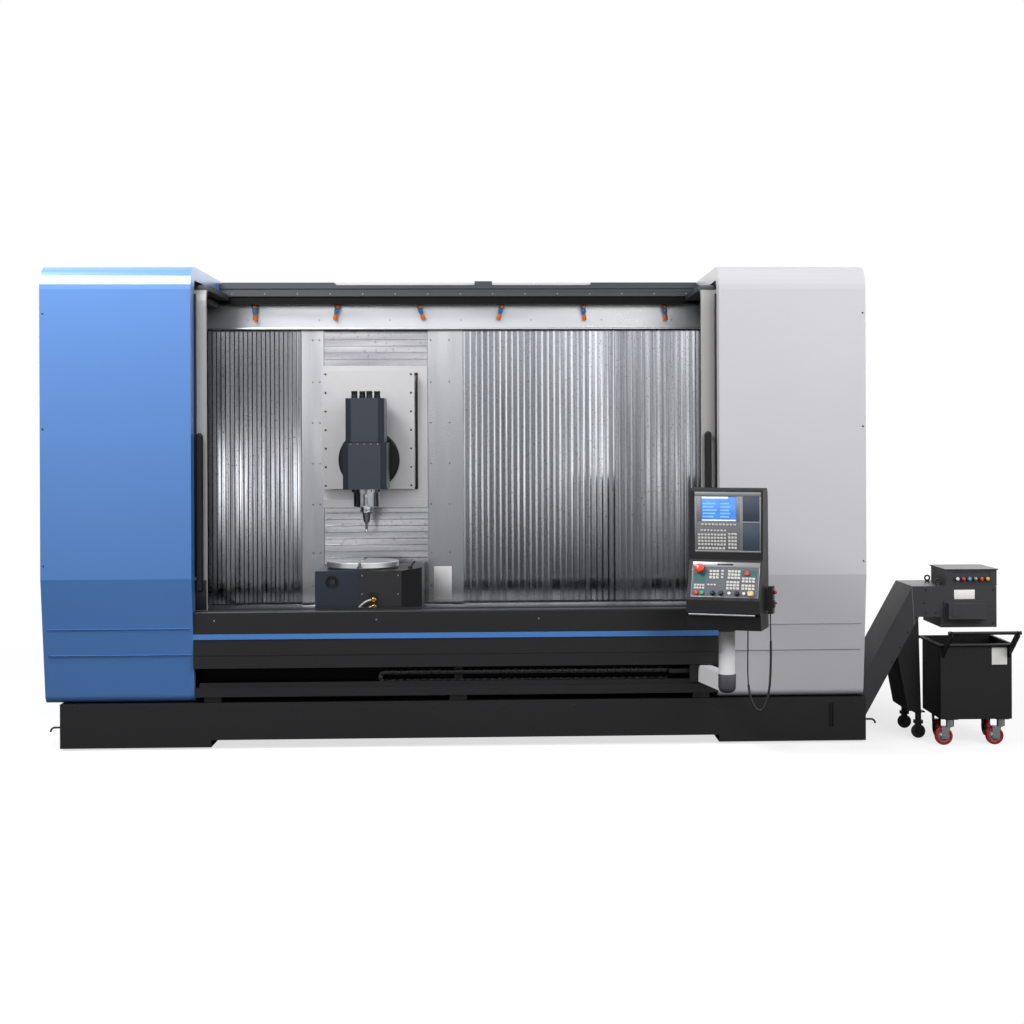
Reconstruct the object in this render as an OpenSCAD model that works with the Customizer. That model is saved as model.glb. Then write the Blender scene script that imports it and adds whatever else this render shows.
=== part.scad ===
// Travelling-column machining centre: base and enclosure, column with saddle,
// ram and swivel head, rotary table, telescopic doors, operator pendant,
// chip conveyor and chip bin.
// Millimetres. +X is the operator's right, +Y the rear, +Z up. The origin lies
// on the floor under the middle of the enclosure.

/* [Enclosure] */
// Width over both side panels
machine_w = 5766; // [5700:1:6200]
// Height of the roof above the floor
machine_h = 3391; // [3380:1:3600]
// Depth from the front of the covers to the rear wall
machine_d = 3300; // [3250:1:3700]
// Clear width between the two front covers
opening_w = 3690; // [3640:1:3760]
// Thickness of a side panel
side_panel_t = 30; // [20:1:50]
// Sheet thickness of covers and apron
cover_skin = 12; // [6:1:16]
// Depth of a cover's edge beside the opening
cover_edge = 140; // [130:1:160]
// Height of a cover's edge under the roof
roof_edge = 95; // [60:1:120]
// Height of the covers' lower edge
cover_bottom_z = 330; // [328:1:360]
// Height below which the covers lean back
cover_lean_z = 1205; // [1000:1:1400]
// How far the lower edge leans back
cover_lean = 110; // [40:1:160]
// Radius of the covers' upper front corner
cover_top_r = 170; // [100:1:240]
// Radius of the covers' lower front corner
cover_bottom_r = 60; // [30:1:62]
// Height of the upper panel seam
upper_seam_z = 853; // [780:1:950]
// Height of the lower panel seam
lower_seam_z = 668; // [560:1:740]
// Width of a panel seam
seam_w = 6; // [3:1:10]
// Thickness of the rear wall and the rear roof
rear_skin = 30; // [20:1:60]
// Distance from the cover front to the roof beam
beam_y = 1140; // [1100:1:1180]
// Depth of the roof beam
beam_d = 150; // [120:1:160]
// Distance from the roof down to the roof beam's underside
beam_drop = 179; // [160:1:200]
// Height of the roof beam
beam_h = 147; // [130:1:150]
// Distance from the roof down to the stainless header's lower edge
header_drop = 363; // [330:1:400]

/* [Base] */
// Reach of the base to the left of the middle
base_left = 2780; // [2700:1:2860]
// Reach of the base to the right of the middle
base_right = 2898; // [2860:1:2960]
// Height of the base's top face
base_top_z = 325; // [300:1:326]
// Distance of the base's front behind the cover front
base_setback = 100; // [60:1:200]
// Width of the two end blocks that stand on the floor
end_block_w = 1050; // [800:1:1200]
// Height of the raised middle above the end blocks' underside
tunnel_h = 50; // [30:1:80]
// Height of a levelling pad
pad_h = 15; // [8:1:30]
// Diameter of a levelling pad
pad_d = 160; // [80:1:220]

/* [Table] */
// Length of the work table
table_w = 3500; // [3300:1:3600]
// Depth of the work table
table_d = 850; // [800:1:880]
// Thickness of the work table
table_t = 110; // [90:1:140]
// Height of the table's top
table_z = 880; // [860:1:900]
// Distance of the table's front edge behind the cover front
table_y = 400; // [380:1:420]
// Number of T slots
slot_count = 5; // [3:1:6]
// Distance between T slots
slot_pitch = 160; // [120:1:165]
// Width of a T slot's neck
slot_w = 22; // [14:1:28]
// Depth of a T slot's neck
slot_neck = 24; // [16:1:30]
// Width of a T slot's foot
slot_foot_w = 40; // [32:1:46]
// Height of a T slot's foot
slot_foot_h = 18; // [12:1:22]

/* [Rotary table] */
// Place of the rotary axis along X
rotary_x = -720; // [-760:1:-680]
// Distance of the rotary axis behind the cover front
rotary_y = 725; // [700:1:760]
// Diameter of the rotary disc
disc_d = 534; // [460:1:560]
// Thickness of the rotary disc
disc_t = 52; // [44:1:60]
// Height of the rotary housing above the table
housing_h = 338; // [320:1:342]
// Diameter of the disc's centre bore
disc_bore_d = 50; // [30:1:80]
// Depth of the disc's centre bore
disc_bore_h = 40; // [20:1:44]
// Diameter of the disc's shaft in the housing
disc_shaft_d = 240; // [180:1:300]
// Running clearance round a shaft
running = 0.05; // [0.02:0.01:0.1]
// Clearance between faces that slide
glide = 0.5; // [0.3:0.1:1]

/* [Column] */
// Place of the column's middle along X
column_x = -619; // [-640:1:-600]
// Width of the column
column_w = 1260; // [1220:1:1300]
// Width of the opening that the saddle moves in
shaft_w = 814; // [800:1:830]
// Place of the opening's middle along X
shaft_x = -671; // [-680:1:-660]
// Distance of the column's front frame behind the cover front
column_y = 1380; // [1370:1:1400]
// Depth of the column casting
column_d = 1150; // [1000:1:1250]
// Width and height of an X guide rail
rail_w = 65; // [45:1:80]
// Distance between slats of the left wall
left_slat_pitch = 35; // [30:1:60]
// Distance between slats of the right wall
slat_pitch = 47; // [30:1:60]
// Distance between slats of the saddle's covers
saddle_slat_pitch = 50; // [40:1:60]

/* [Head] */
// Place of the spindle axis along X
spindle_x = -712; // [-716:1:-706]
// Distance of the spindle axis behind the cover front
spindle_y = 980; // [970:1:990]
// Height of the swivel axis above the table
swivel_up = 1132; // [1120:1:1150]
// Diameter of the swivel disc
swivel_d = 470; // [400:1:520]
// Width of the head's lower block
head_w = 327; // [300:1:360]
// Width of the head's upper block
head_upper_w = 290; // [260:1:298]
// Distance of the head's lower face below the swivel axis
head_below = 216; // [202:1:232]
// Distance of the joint between the head's blocks above the swivel axis
split_up = 139; // [108:1:168]
// Distance of the head's upper face above the swivel axis
head_up = 468; // [428:1:488]
// Length of the spindle nose below the head
nose_h = 136; // [110:1:150]
// Diameter of the spindle nose
nose_d = 210; // [190:1:230]
// Diameter of the spindle
spindle_d = 120; // [90:1:130]
// Length of the tool and its holder below the spindle nose
tool_reach = 192; // [160:1:200]

/* [Doors] */
// Thickness of a door panel
door_t = 40; // [30:1:50]
// Width of each of the four door panels
door_w = 970; // [960:1:985]
// Place of the left door's leading edge at rest, left of the middle
left_door_x = 1769; // [1760:1:1780]
// Place of the right door's leading edge at rest, right of the middle
right_door_x = 1741; // [1735:1:1755]
// Gap between a door and the cover or the next door
door_gap = 15; // [10:1:25]
// Height of the sill under the doors
sill_z = 968; // [950:1:990]
// Width of a door's leading stile
stile_w = 160; // [120:1:200]
// Height of the door window's lower edge
window_z = 1350; // [1250:1:1500]
// Distance from the top of a door down to its window
window_drop = 576; // [480:1:900]
// Thickness of the window pane
window_t = 10; // [6:1:16]
// Height of the handle's lower end
handle_z = 1103; // [1060:1:1200]
// Length of the handle
handle_h = 1117; // [800:1:1200]
// Width of the handle's bar
handle_w = 50; // [40:1:54]
// Thickness of the handle's bar
handle_t = 26; // [20:1:32]
// Distance of the handle's bar from the door
handle_reach = 55; // [48:1:70]

/* [Apron] */
// Distance of the apron behind the cover front
apron_y = 60; // [40:1:80]
// Height of the apron's lower edge
apron_bottom_z = 572; // [566:1:590]
// Height of the coloured stripe's upper edge
stripe_z = 811; // [780:1:850]
// Height of the coloured stripe
stripe_h = 35; // [20:1:50]
// Height of the apron's groove
groove_z = 660; // [620:1:700]
// Height of the ledge's top in the pendant slot
ledge_z = 429; // [425:1:432]
// Height of the ledge
ledge_h = 63; // [40:1:80]

/* [Pendant] */
// Place of the pendant post along X
post_x = 1841; // [1835:1:1850]
// Distance of the pendant post in front of the cover front
post_reach = 350; // [340:1:400]
// Diameter of the post
post_d = 112; // [90:1:120]
// Height of the pendant's underside
pendant_z = 886; // [870:1:900]
// Turn of the pendant towards the work area, in degrees
pendant_turn = 21; // [0:1:35]
// Width of the pendant
pendant_w = 500; // [480:1:520]
// Distance of the pendant's middle from the post
pendant_shift = 26; // [0:1:30]
// Diameter of the emergency stop's cap
stop_d = 62; // [40:1:70]
// Diameter of the feed knob
knob_d = 44; // [30:1:48]

/* [Conveyor] */
// Distance of the conveyor's side behind the cover front
conveyor_y = 200; // [198:1:215]
// Width of the conveyor
conveyor_w = 480; // [440:1:490]
// Slope of the rising part, in degrees
conveyor_angle = 61; // [58:1:64]
// Height of the lower run's underside
run_z = 80; // [76:1:84]
// Depth of the trough
trough_h = 148; // [130:1:152]
// Sheet thickness of the conveyor
trough_t = 6; // [4:1:10]
// Place where the underside starts to rise
bend_x = 2868; // [2860:1:2890]
// Height of the discharge head's top
head_top = 1098; // [1090:1:1120]
// Height of the discharge mouth
head_bottom = 800; // [790:1:806]
// Place of the discharge head's far end
head_end = 3874; // [3860:1:3890]

/* [Bin] */
// Place of the bin's left side
bin_x = 3384; // [3380:1:3394]
// Distance of the bin's front before the cover front
bin_out = 90; // [80:1:100]
// Width of the bin
bin_w = 504; // [490:1:520]
// Depth of the bin
bin_d = 480; // [440:1:500]
// Height of the bin's underside
bin_z = 190; // [180:1:200]
// Height of the bin's walls
bin_h = 530; // [480:1:540]
// Sheet thickness of the bin
bin_t = 5; // [3:1:8]
// Diameter of a castor's wheel
wheel_d = 125; // [110:1:126]
// Width of a castor's wheel
wheel_w = 36; // [28:1:42]
// Distance of a wheel's axle behind its swivel axis
trail = 46; // [36:1:52]
// Diameter of an axle
axle_d = 16; // [12:1:20]

/* [Hidden] */
$fn = 64;

// Finishes
cover_blue = "#3f6fb3";
cover_grey = "#b9b8be";
anthracite = "#2f3033";
black = "#1c1c1e";
stainless = "#b8babd";
cast = "#5a5d60";
head_blue = "#3c4149";
steel = "#9a9ca0";

// Enclosure planes
fy = -machine_d / 2;
ry = machine_d / 2;
half_w = machine_w / 2;
inner_w = half_w - side_panel_t;
half_open = opening_w / 2;
roof_split_y = fy + beam_y + beam_d;
beam_z = machine_h - beam_drop;
header_z = machine_h - header_drop;
header_t = 12;
foot_edge = 80;
cover_foot = 15;
arc_n = 8;
seam_depth = 4;

// Bed
bed_top_z = table_z - table_t;
base_y = fy + base_setback;
pedestal_front = fy + 710;
chip_slot_y0 = fy + 320;
chip_slot_in = 100;
pedestal_back = fy + 1270;
column_bed_y0 = fy + 1480;
bed_rear_gap = 400;
column_bed_y1 = ry - bed_rear_gap;
frame_y = fy + column_y;
casting_y0 = frame_y + 60;
casting_y1 = casting_y0 + column_d;
rail_front = 1640;
rail_rear_gap = 110;
channel_gap = 12;
rail_seat_h = 30;
rail_y = [fy + rail_front, casting_y1 - rail_rear_gap];
rail_end_gap = 183;
rail_l = machine_w - 2 * rail_end_gap;
rail_z = bed_top_z + rail_seat_h;
runner_l = 300;
runner_w = 150;
screw_d = 60;
screw_z = bed_top_z + 45;
screw_y = (rail_y[0] + rail_y[1]) / 2;

// Heights in the working space grow with the space between table and roof
clear_h = 2511;
lift = (machine_h - table_z) / clear_h;
swivel_z = table_z + swivel_up * lift;

// Column and saddle
column_x0 = column_x - column_w / 2;
column_x1 = column_x + column_w / 2;
shaft_x0 = shaft_x - shaft_w / 2;
shaft_x1 = shaft_x + shaft_w / 2;
frame_t = 12;
frame_strip = 8;
casting_z0 = rail_z + rail_w + 16;
casting_z1 = machine_h - rear_skin - 110;
shaft_z0 = casting_z0 + 130;
shaft_z1 = casting_z1 - 90;
wall_y = fy + column_y + 20;
wall_t = 16;
wall_z0 = table_z + 5;
wall_z1 = beam_z;
way_w = 90;
way_t = 20;
way_y = casting_y0 + 220;
saddle_below = 372;
saddle_above = 733;
saddle_d = 820;
saddle_z0 = swivel_z - saddle_below * lift;
saddle_z1 = swivel_z + saddle_above * lift;
saddle_y0 = fy + column_y - 45;
saddle_y1 = saddle_y0 + saddle_d;
saddle_gap = 2;
ram_w = 560;
ram_below = 182;
ram_above = 618;
ram_l = 1400;
ram_z0 = swivel_z - ram_below * lift;
ram_z1 = swivel_z + ram_above * lift;
plate_w = 712;
plate_x = spindle_x - 6;
plate_below = 227;
plate_above = 689;
plate_back = 1235;
plate_z0 = swivel_z - plate_below * lift;
plate_z1 = swivel_z + plate_above * lift;
plate_t = 30;
plate_y = fy + plate_back;
ram_y1 = plate_y + ram_l;
swivel_shaft_d = 260;
swivel_shaft_h = 110;
swivel_t = 44;

// Head
head_y0 = fy + 775;
head_y1 = plate_y - glide - swivel_t;
head_chamfer = 44;
head_bottom_z = swivel_z - head_below;
head_split_z = swivel_z + split_up;
head_top_z = swivel_z + head_up;
nose_z = head_bottom_z - nose_h;
tool_tip_z = nose_z - tool_reach;
spindle_at = [spindle_x, fy + spindle_y, 0];

// Doors and sill
door_y = fy + cover_edge + door_gap + 5;
inner_door_y = door_y + door_t + door_gap;
track_y0 = door_y - 10;
track_y1 = inner_door_y + door_t + 35;
track_h = 68;
track_groove = 10;
post_t = 20;
door_z = sill_z - track_groove + glide;
door_roof_z = machine_h - roof_edge - door_gap - 5;
inner_roof_z = door_roof_z - door_t - door_gap;
door_roof_y1 = fy + beam_y - 10;
door_corner_r = 150;
inner_door_x = half_open + 5;
window_x0 = stile_w;
window_x1 = door_w - 130;
window_lap = 14;
window_h = door_roof_z - window_drop - window_z;

// Pendant
post_at = [post_x, fy - post_reach, 0];
slot_arm_x = half_open - 105;
carriage_w = 200;
guide_w = 34;
guide_h = 34;
guide_y = fy + 136;
arm_z0 = ledge_z + 16;
arm_z1 = apron_bottom_z - 8;
case_x0 = pendant_shift - pendant_w / 2;
case_x1 = pendant_shift + pendant_w / 2;
case_back = 60;
lip_y = -238;
panel_foot = [-226, 1100];
panel_head = [-141, 1341];
panel_tilt = atan((panel_head[0] - panel_foot[0]) / (panel_head[1] - panel_foot[1]));
panel_l = norm(panel_head - panel_foot);
panel_t = 6;
screen_y = -116;
screen_z0 = 1401;
screen_z1 = 1807;
screen_x0 = case_x0 + 31;
screen_x1 = case_x1 - 14;
case_top_z = 1832;
spigot_d = 80;
spigot_h = 34;
stop_at = [case_x0 + 78, panel_l - 56];
knob_at = [case_x1 - 66, 36];
key_t = 4;
stop_bore = 24;
stop_depth = 12;

// Cable chain in the slot
chain_link = 55;
chain_t = 30;
chain_w = 62;
chain_y0 = track_y1 - post_t - 8 - chain_w;
chain_x0 = -520;
chain_x1 = 1500;
chain_top_z = 527;

// Cord of the hand unit: a hanging loop with both ends on the pendant, in the
// pendant's frame with heights from its underside
cord_d = 9;
cord_route = [[300, -1, 100], [300, -1, 74], [301, -1, 14], [302, 0, -86], [302, 1, -186],
    [299, 2, -286], [293, 2, -386], [280, 1, -471], [259, -1, -534], [232, -6, -561],
    [204, -12, -551], [180, -17, -514], [162, -20, -456], [152, -22, -386], [148, -22, -306],
    [148, -22, -226], [149, -22, -146], [150, -22, -66], [150, -22, -36], [150, -22, -20]];

// Conveyor and bin
conveyor_y0 = fy + conveyor_y;
conveyor_y1 = conveyor_y0 + conveyor_w;
run_x0 = -1600;
head_under = head_bottom + 77;
mouth_x0 = 3470;
mouth_wall = 40;
stand_wheel_d = 100;
stand_x = 3312;
stand_z0 = 197;
stand_y = [conveyor_y0 + 45, conveyor_y1 - 45];
bin_y0 = fy - bin_out;
bin_y1 = bin_y0 + bin_d;
bin_x1 = bin_x + bin_w;
bin_rim_d = 22;
castor_in = 70;
castor_at = [bin_x + castor_in + 14, bin_x1 - castor_in + 12];
castor_front_y = bin_y0 + castor_in;
castor_rear_y = bin_y1 - castor_in;
castor_plate_t = 8;
wheel_z = wheel_d / 2;
fork_gap = 3;
fork_t = 5;

// Shared shapes
function arc(c, rx, rz, a0, a1) =
    [for (i = [0:arc_n]) let (a = a0 + (a1 - a0) * i / arc_n) c + [rx * cos(a), rz * sin(a)]];
function reversed(points) = [for (i = [len(points) - 1:-1:0]) points[i]];

module span(low, high) {
    translate(low) cube(high - low);
}

module along_x(x0, x1) {
    translate([x0, 0, 0]) rotate([90, 0, 90]) linear_extrude(x1 - x0) children();
}

module along_y(y0, y1) {
    translate([0, y1, 0]) rotate([90, 0, 0]) linear_extrude(y1 - y0) children();
}

module rod_x(x0, x1, y, z, d) {
    translate([x0, y, z]) rotate([0, 90, 0]) cylinder(h = x1 - x0, d = d);
}

module rod_y(x, y0, y1, z, d) {
    translate([x, y0, z]) rotate([-90, 0, 0]) cylinder(h = y1 - y0, d = d);
}

module rod_z(x, y, z0, z1, d) {
    translate([x, y, z0]) cylinder(h = z1 - z0, d = d);
}

module left() {
    mirror([1, 0, 0]) children();
}

// Cast base: slab with end blocks, tunnel and slot for the chips, ribbed table
// pedestal and the bed of the column
module machine_bed() {
    z0 = pad_h;
    zm = pad_h + tunnel_h;
    xl = -base_left + end_block_w;
    xr = base_right - end_block_w;
    gauge_x = base_right - 250;
    gauge_z = [110, 280];
    tunnel_y = [conveyor_y0 - channel_gap, conveyor_y1 + channel_gap];
    tunnel_top = run_z + trough_h + channel_gap;
    rib_t = 40;
    rib_drop = 70;
    color(anthracite) difference() {
        union() {
            along_y(base_y, ry) polygon([[-base_left, z0], [xl, z0], [xl, zm], [xr, zm], [xr, z0],
                [base_right, z0], [base_right, base_top_z], [-base_left, base_top_z]]);
            span([-table_w / 2, pedestal_front, base_top_z], [table_w / 2, pedestal_back, bed_top_z]);
            for (x = [-table_w / 2:(table_w - rib_t) / 6:table_w / 2 - rib_t])
                along_x(x, x + rib_t) polygon([[fy + table_y, bed_top_z],
                    [fy + table_y, bed_top_z - rib_drop],
                    [pedestal_front, base_top_z + rib_drop], [pedestal_front, bed_top_z]]);
            span([-rail_l / 2, column_bed_y0, base_top_z], [rail_l / 2, column_bed_y1, bed_top_z]);
            for (y = rail_y)
                span([-rail_l / 2, y - rail_w, bed_top_z], [rail_l / 2, y + rail_w, rail_z]);
        }
        span([run_x0 - channel_gap, tunnel_y[0], run_z], [base_right + 1, tunnel_y[1], tunnel_top]);
        span([run_x0 + chip_slot_in, chip_slot_y0, tunnel_top - 1],
            [table_w / 2 - chip_slot_in, tunnel_y[1] - 20, base_top_z + 1]);
        span([rise_x(tunnel_top, trough_h) - channel_gap, tunnel_y[0], tunnel_top - 1],
            [base_right + 1, tunnel_y[1], base_top_z + 1]);
        span([gauge_x - 16, base_y - 1, gauge_z[0]], [gauge_x + 16, base_y + 14, gauge_z[1]]);
    }
    color(steel) rod_z(gauge_x, base_y + 7, gauge_z[0], gauge_z[1], 10);
}

module levelling_pads() {
    color(steel) {
        for (x = [-base_left + 180, -base_left + end_block_w - 180,
                base_right - end_block_w + 180, base_right - 180])
            for (y = [base_y + 250, 0, ry - 300])
                rod_z(x, y, 0, pad_h, pad_d);
        for (y = [0, ry - 300]) rod_z(0, y, 0, pad_h + tunnel_h, pad_d);
    }
}

// Guide rail with undercut flanks
module x_rails() {
    w = rail_w / 2;
    u = rail_w / 7;
    color(steel) for (y = rail_y)
        along_x(-rail_l / 2, rail_l / 2) translate([y, rail_z])
            polygon([[-w, 0], [w, 0], [w, 2 * u], [w - u, 3 * u], [w - u, 4 * u], [w, 5 * u],
                [w, rail_w], [-w, rail_w], [-w, 5 * u], [u - w, 4 * u], [u - w, 3 * u], [-w, 2 * u]]);
}

module x_screw() {
    z = screw_z;
    x1 = rail_l / 2;
    block = 120;
    color(steel) difference() {
        union() {
            rod_x(-x1, x1, screw_y, z, screw_d);
            for (x = [-x1, x1 - block])
                span([x, screw_y - screw_d, bed_top_z], [x + block, screw_y + screw_d, z + screw_d]);
        }
        for (x = [-x1 + block + 60:120:x1 - block - 60])
            translate([x, screw_y, z]) rotate([0, 90, 0])
                difference() {
                    cylinder(h = 24, d = screw_d + 2);
                    translate([0, 0, -1]) cylinder(h = 26, d = screw_d - 10);
                }
    }
}

// T-slot section cut downwards from height z
module t_slot(z) {
    translate([-slot_w / 2, z - slot_neck]) square([slot_w, slot_neck + 1]);
    translate([-slot_foot_w / 2, z - slot_neck - slot_foot_h]) square([slot_foot_w, slot_foot_h]);
}

module work_table() {
    y0 = fy + table_y;
    color(cast) along_x(-table_w / 2, table_w / 2) difference() {
        translate([y0, bed_top_z]) square([table_d, table_t]);
        for (i = [0:slot_count - 1])
            translate([y0 + table_d / 2 + (i - (slot_count - 1) / 2) * slot_pitch, 0]) t_slot(table_z);
    }
}

// Stainless pan round the table: side pans, a slope up to the slat wall and a
// deflector behind the sill; chips fall between deflector and table
module chip_guard() {
    x1 = inner_w;
    z = table_z - 40;
    t = 4;
    y0 = track_y1;
    y1 = wall_y - glide;
    ty0 = fy + table_y;
    ty1 = ty0 + table_d;
    color(stainless) {
        span([-x1, y0, base_top_z + 40], [x1, y0 + t, sill_z]);
        along_x(-x1, x1) polygon([[ty1, z], [y1, table_z], [y1, table_z - t], [ty1, z - t]]);
        for (s = [-1, 1])
            span([min(s * table_w / 2, s * x1), y0, z - t], [max(s * table_w / 2, s * x1), ty1, z]);
    }
}

// Rotary table: housing with a chamfered corner, recessed cover and sight hole
housing_x0 = rotary_x - 320;
housing_x1 = rotary_x + 308;
housing_xc = rotary_x + 438;
housing_y0 = fy + 420;
housing_y1 = fy + 1080;
housing_chamfer = 270;
housing_yc = housing_y0 + housing_chamfer;
housing_z1 = table_z + housing_h * lift;
sight_x = 195;
sight_drop = 82;
sight_d = 96;
housing_cover_t = 8;
module rotary_housing() {
    cover_t = housing_cover_t;
    cover_x0 = rotary_x - 3;
    hole_at = [rotary_x - sight_x, housing_z1 - sight_drop];
    color(head_blue) difference() {
        union() {
            translate([0, 0, table_z]) linear_extrude(housing_z1 - table_z) polygon([[housing_x0, housing_y0],
                [housing_x1, housing_y0], [housing_xc, housing_yc], [housing_xc, housing_y1],
                [housing_x0, housing_y1]]);
            span([cover_x0, housing_y0 - cover_t, table_z + 6], [housing_x1 - 6, housing_y0, housing_z1 - 8]);
        }
        rod_z(rotary_x, fy + rotary_y, housing_z1 - 130, housing_z1 + 1, disc_shaft_d + 2 * running);
        rod_y(hole_at[0], housing_y0 - 1, housing_y0 + 40, hole_at[1], sight_d);
    }
    color(steel) span([hole_at[0] - 17, housing_y0 + 12, hole_at[1] - 17],
        [hole_at[0] + 17, housing_y0 + 40, hole_at[1] + 17]);
}

module rotary_disc() {
    z0 = housing_z1 + glide;
    z1 = z0 + disc_t;
    y = fy + rotary_y;
    chamfer = 4;
    r = disc_d / 2;
    color(steel) difference() {
        union() {
            translate([rotary_x, y, z0]) rotate_extrude() polygon([[0, 0], [r - 14, 0], [r, 14],
                [r, disc_t - chamfer], [r - chamfer, disc_t], [0, disc_t]]);
            rod_z(rotary_x, y, z0 - 110, z0, disc_shaft_d);
        }
        rod_z(rotary_x, y, z1 - disc_bore_h, z1 + 1, disc_bore_d);
        for (a = [0:90:270]) translate([rotary_x, y, 0]) rotate([0, 0, a])
            along_x(disc_bore_d, r + 1) t_slot(z1);
    }
}

// Coolant line blocks with two short held hoses, and a clamp lever on the housing
module rotary_fittings() {
    y = housing_y0 - housing_cover_t;
    x = rotary_x + 108;
    hose_d = 16;
    lines = [130, 80];
    lever_x = housing_x1 + 50;
    lever_y = housing_yc - 60;
    color("#b08d3a") {
        span([x - 34, y - 26, table_z + 160], [x + 22, y, table_z + 184]);
        for (z = lines) rod_y(x, y - 34, y, table_z + z, 34);
    }
    color(steel) for (r = lines)
        translate([x, y - hose_d / 2 - 1, table_z]) rotate([90, 0, 0]) rotate([0, 0, 90])
            rotate_extrude(angle = 90) translate([r, 0]) circle(d = hose_d);
    color(black) {
        span([lever_x - 16, lever_y - 30, housing_z1], [lever_x + 16, lever_y + 30, housing_z1 + 16]);
        translate([lever_x, lever_y, housing_z1 + 8]) rotate([0, 35, 0]) cylinder(h = 56, d = 12);
    }
}

// Outline of a front cover in depth and height, inset from its outer face
function cover_outline(front, top, bottom, rear, foot) =
    let (rtx = max(cover_top_r - front, 10), rtz = max(cover_top_r - top, 10),
        rb = max(cover_bottom_r - front, 10), lean_a = atan(cover_lean / (cover_lean_z - cover_bottom_z)))
    concat([[rear, machine_h - top]],
        arc([fy + front + rtx, machine_h - top - rtz], rtx, rtz, 90, 180),
        [[fy + front, cover_lean_z]],
        arc([fy + cover_lean + front + rb, cover_bottom_z + bottom + rb], rb, rb, 180 + lean_a, 270),
        [[foot, cover_bottom_z + bottom]]);
cover_foot_y = fy + cover_lean + cover_bottom_r + cover_foot;
module cover_band(front, top, bottom) {
    polygon(concat(cover_outline(0, 0, 0, roof_split_y, cover_foot_y),
        reversed(cover_outline(front, top, bottom, roof_split_y, cover_foot_y))));
}
function lean_y(z) = fy + cover_lean * (cover_lean_z - z) / (cover_lean_z - cover_bottom_z);

module cover_shell() {
    difference() {
        union() {
            along_x(half_open, inner_w) cover_band(cover_skin, cover_skin, cover_skin);
            difference() {
                along_x(half_open, half_open + cover_skin) cover_band(cover_edge, roof_edge, foot_edge);
                span([half_open - 1, fy + cover_edge, cover_bottom_z + foot_edge],
                    [half_open + cover_skin + 1, roof_split_y, cover_lean_z]);
            }
        }
        for (z = [upper_seam_z, lower_seam_z])
            span([half_open - 1, fy - 1, z - seam_w / 2],
                [inner_w + 1, lean_y(z) + seam_depth, z + seam_w / 2]);
    }
}

module side_panel() {
    along_x(inner_w, half_w) polygon(cover_outline(0, 0, 0, ry, ry));
}

module right_cover() {
    color(cover_grey) cover_shell();
}

module left_cover() {
    color(cover_blue) left() cover_shell();
}

// The right panel is notched round the conveyor
module right_side_panel() {
    notch_z = run_z + (half_w - bend_x + trough_h / sin(conveyor_angle)) * tan(conveyor_angle) + channel_gap;
    color(cover_grey) difference() {
        side_panel();
        span([inner_w - 1, conveyor_y0 - channel_gap, cover_bottom_z - 1],
            [half_w + 1, conveyor_y1 + channel_gap, notch_z]);
    }
}

module left_side_panel() {
    color(cover_blue) left() side_panel();
}

// Folded apron with a proud stripe and a groove
module front_apron() {
    y = fy + apron_y;
    t = cover_skin;
    p = 5;
    g = 8;
    s0 = stripe_z - stripe_h;
    color(anthracite) along_x(-half_open, half_open) polygon([[track_y0, sill_z], [y + g, sill_z],
        [y, sill_z - g], [y, stripe_z], [y - p, stripe_z], [y - p, s0], [y, s0], [y, groove_z + g / 2],
        [y + p, groove_z + g / 2], [y + p, groove_z - g / 2], [y, groove_z - g / 2], [y, apron_bottom_z],
        [track_y0, apron_bottom_z], [track_y0, apron_bottom_z + t], [y + t, apron_bottom_z + t],
        [y + t, sill_z - t], [track_y0, sill_z - t]]);
}

// Sill beam with one groove for each pair of doors, on posts from the base
module door_track() {
    post_w = 60;
    color(anthracite) {
        along_x(-inner_w, inner_w) difference() {
            translate([track_y0, sill_z - track_h]) square([track_y1 - track_y0, track_h]);
            for (y = [door_y, inner_door_y])
                translate([y - glide, sill_z - track_groove]) square([door_t + 2 * glide, track_groove + 1]);
        }
        for (x = [-inner_w + 200, -half_open - 150, 0, half_open + 150, inner_w - 200])
            span([x - post_w / 2, track_y1 - post_t, base_top_z],
                [x + post_w / 2, track_y1, sill_z - track_h]);
    }
}

// Ledge in the slot below the apron, with the pendant's guide rail on it
module pendant_rail() {
    foot_w = 120;
    y0 = fy + 100;
    y1 = track_y1 - post_t - 2;
    color(anthracite) {
        span([-half_open, y0, ledge_z - ledge_h], [half_open, y1, ledge_z]);
        for (x = [-half_open + foot_w, 0, half_open - foot_w])
            span([x - foot_w / 2, y0 + 40, base_top_z], [x + foot_w / 2, y1 - 40, ledge_z - ledge_h]);
    }
    color(steel) span([-half_open + 30, guide_y - guide_w / 2, ledge_z],
        [half_open - 5, guide_y + guide_w / 2, ledge_z + guide_h]);
}

// Link chain folded back on itself: two runs, one bend, a notch between links
module cable_chain() {
    r = (chain_top_z - ledge_z) / 2;
    zc = ledge_z + r;
    notch = 4;
    depth = 9;
    color(black) difference() {
        along_y(chain_y0, chain_y0 + chain_w) union() {
            difference() {
                translate([chain_x0, zc]) circle(r = r);
                translate([chain_x0, zc]) circle(r = r - chain_t);
                translate([chain_x0, ledge_z - 1]) square([r + 1, 2 * r + 2]);
            }
            for (z = [ledge_z, chain_top_z - chain_t])
                translate([chain_x0, z]) square([chain_x1 - chain_x0, chain_t]);
        }
        for (x = [chain_x0 + chain_link:chain_link:chain_x1 - notch])
            for (z = [ledge_z + chain_t, chain_top_z])
                span([x, chain_y0 - 1, z - depth], [x + notch, chain_y0 + chain_w + 1, z + 1]);
    }
}

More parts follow.
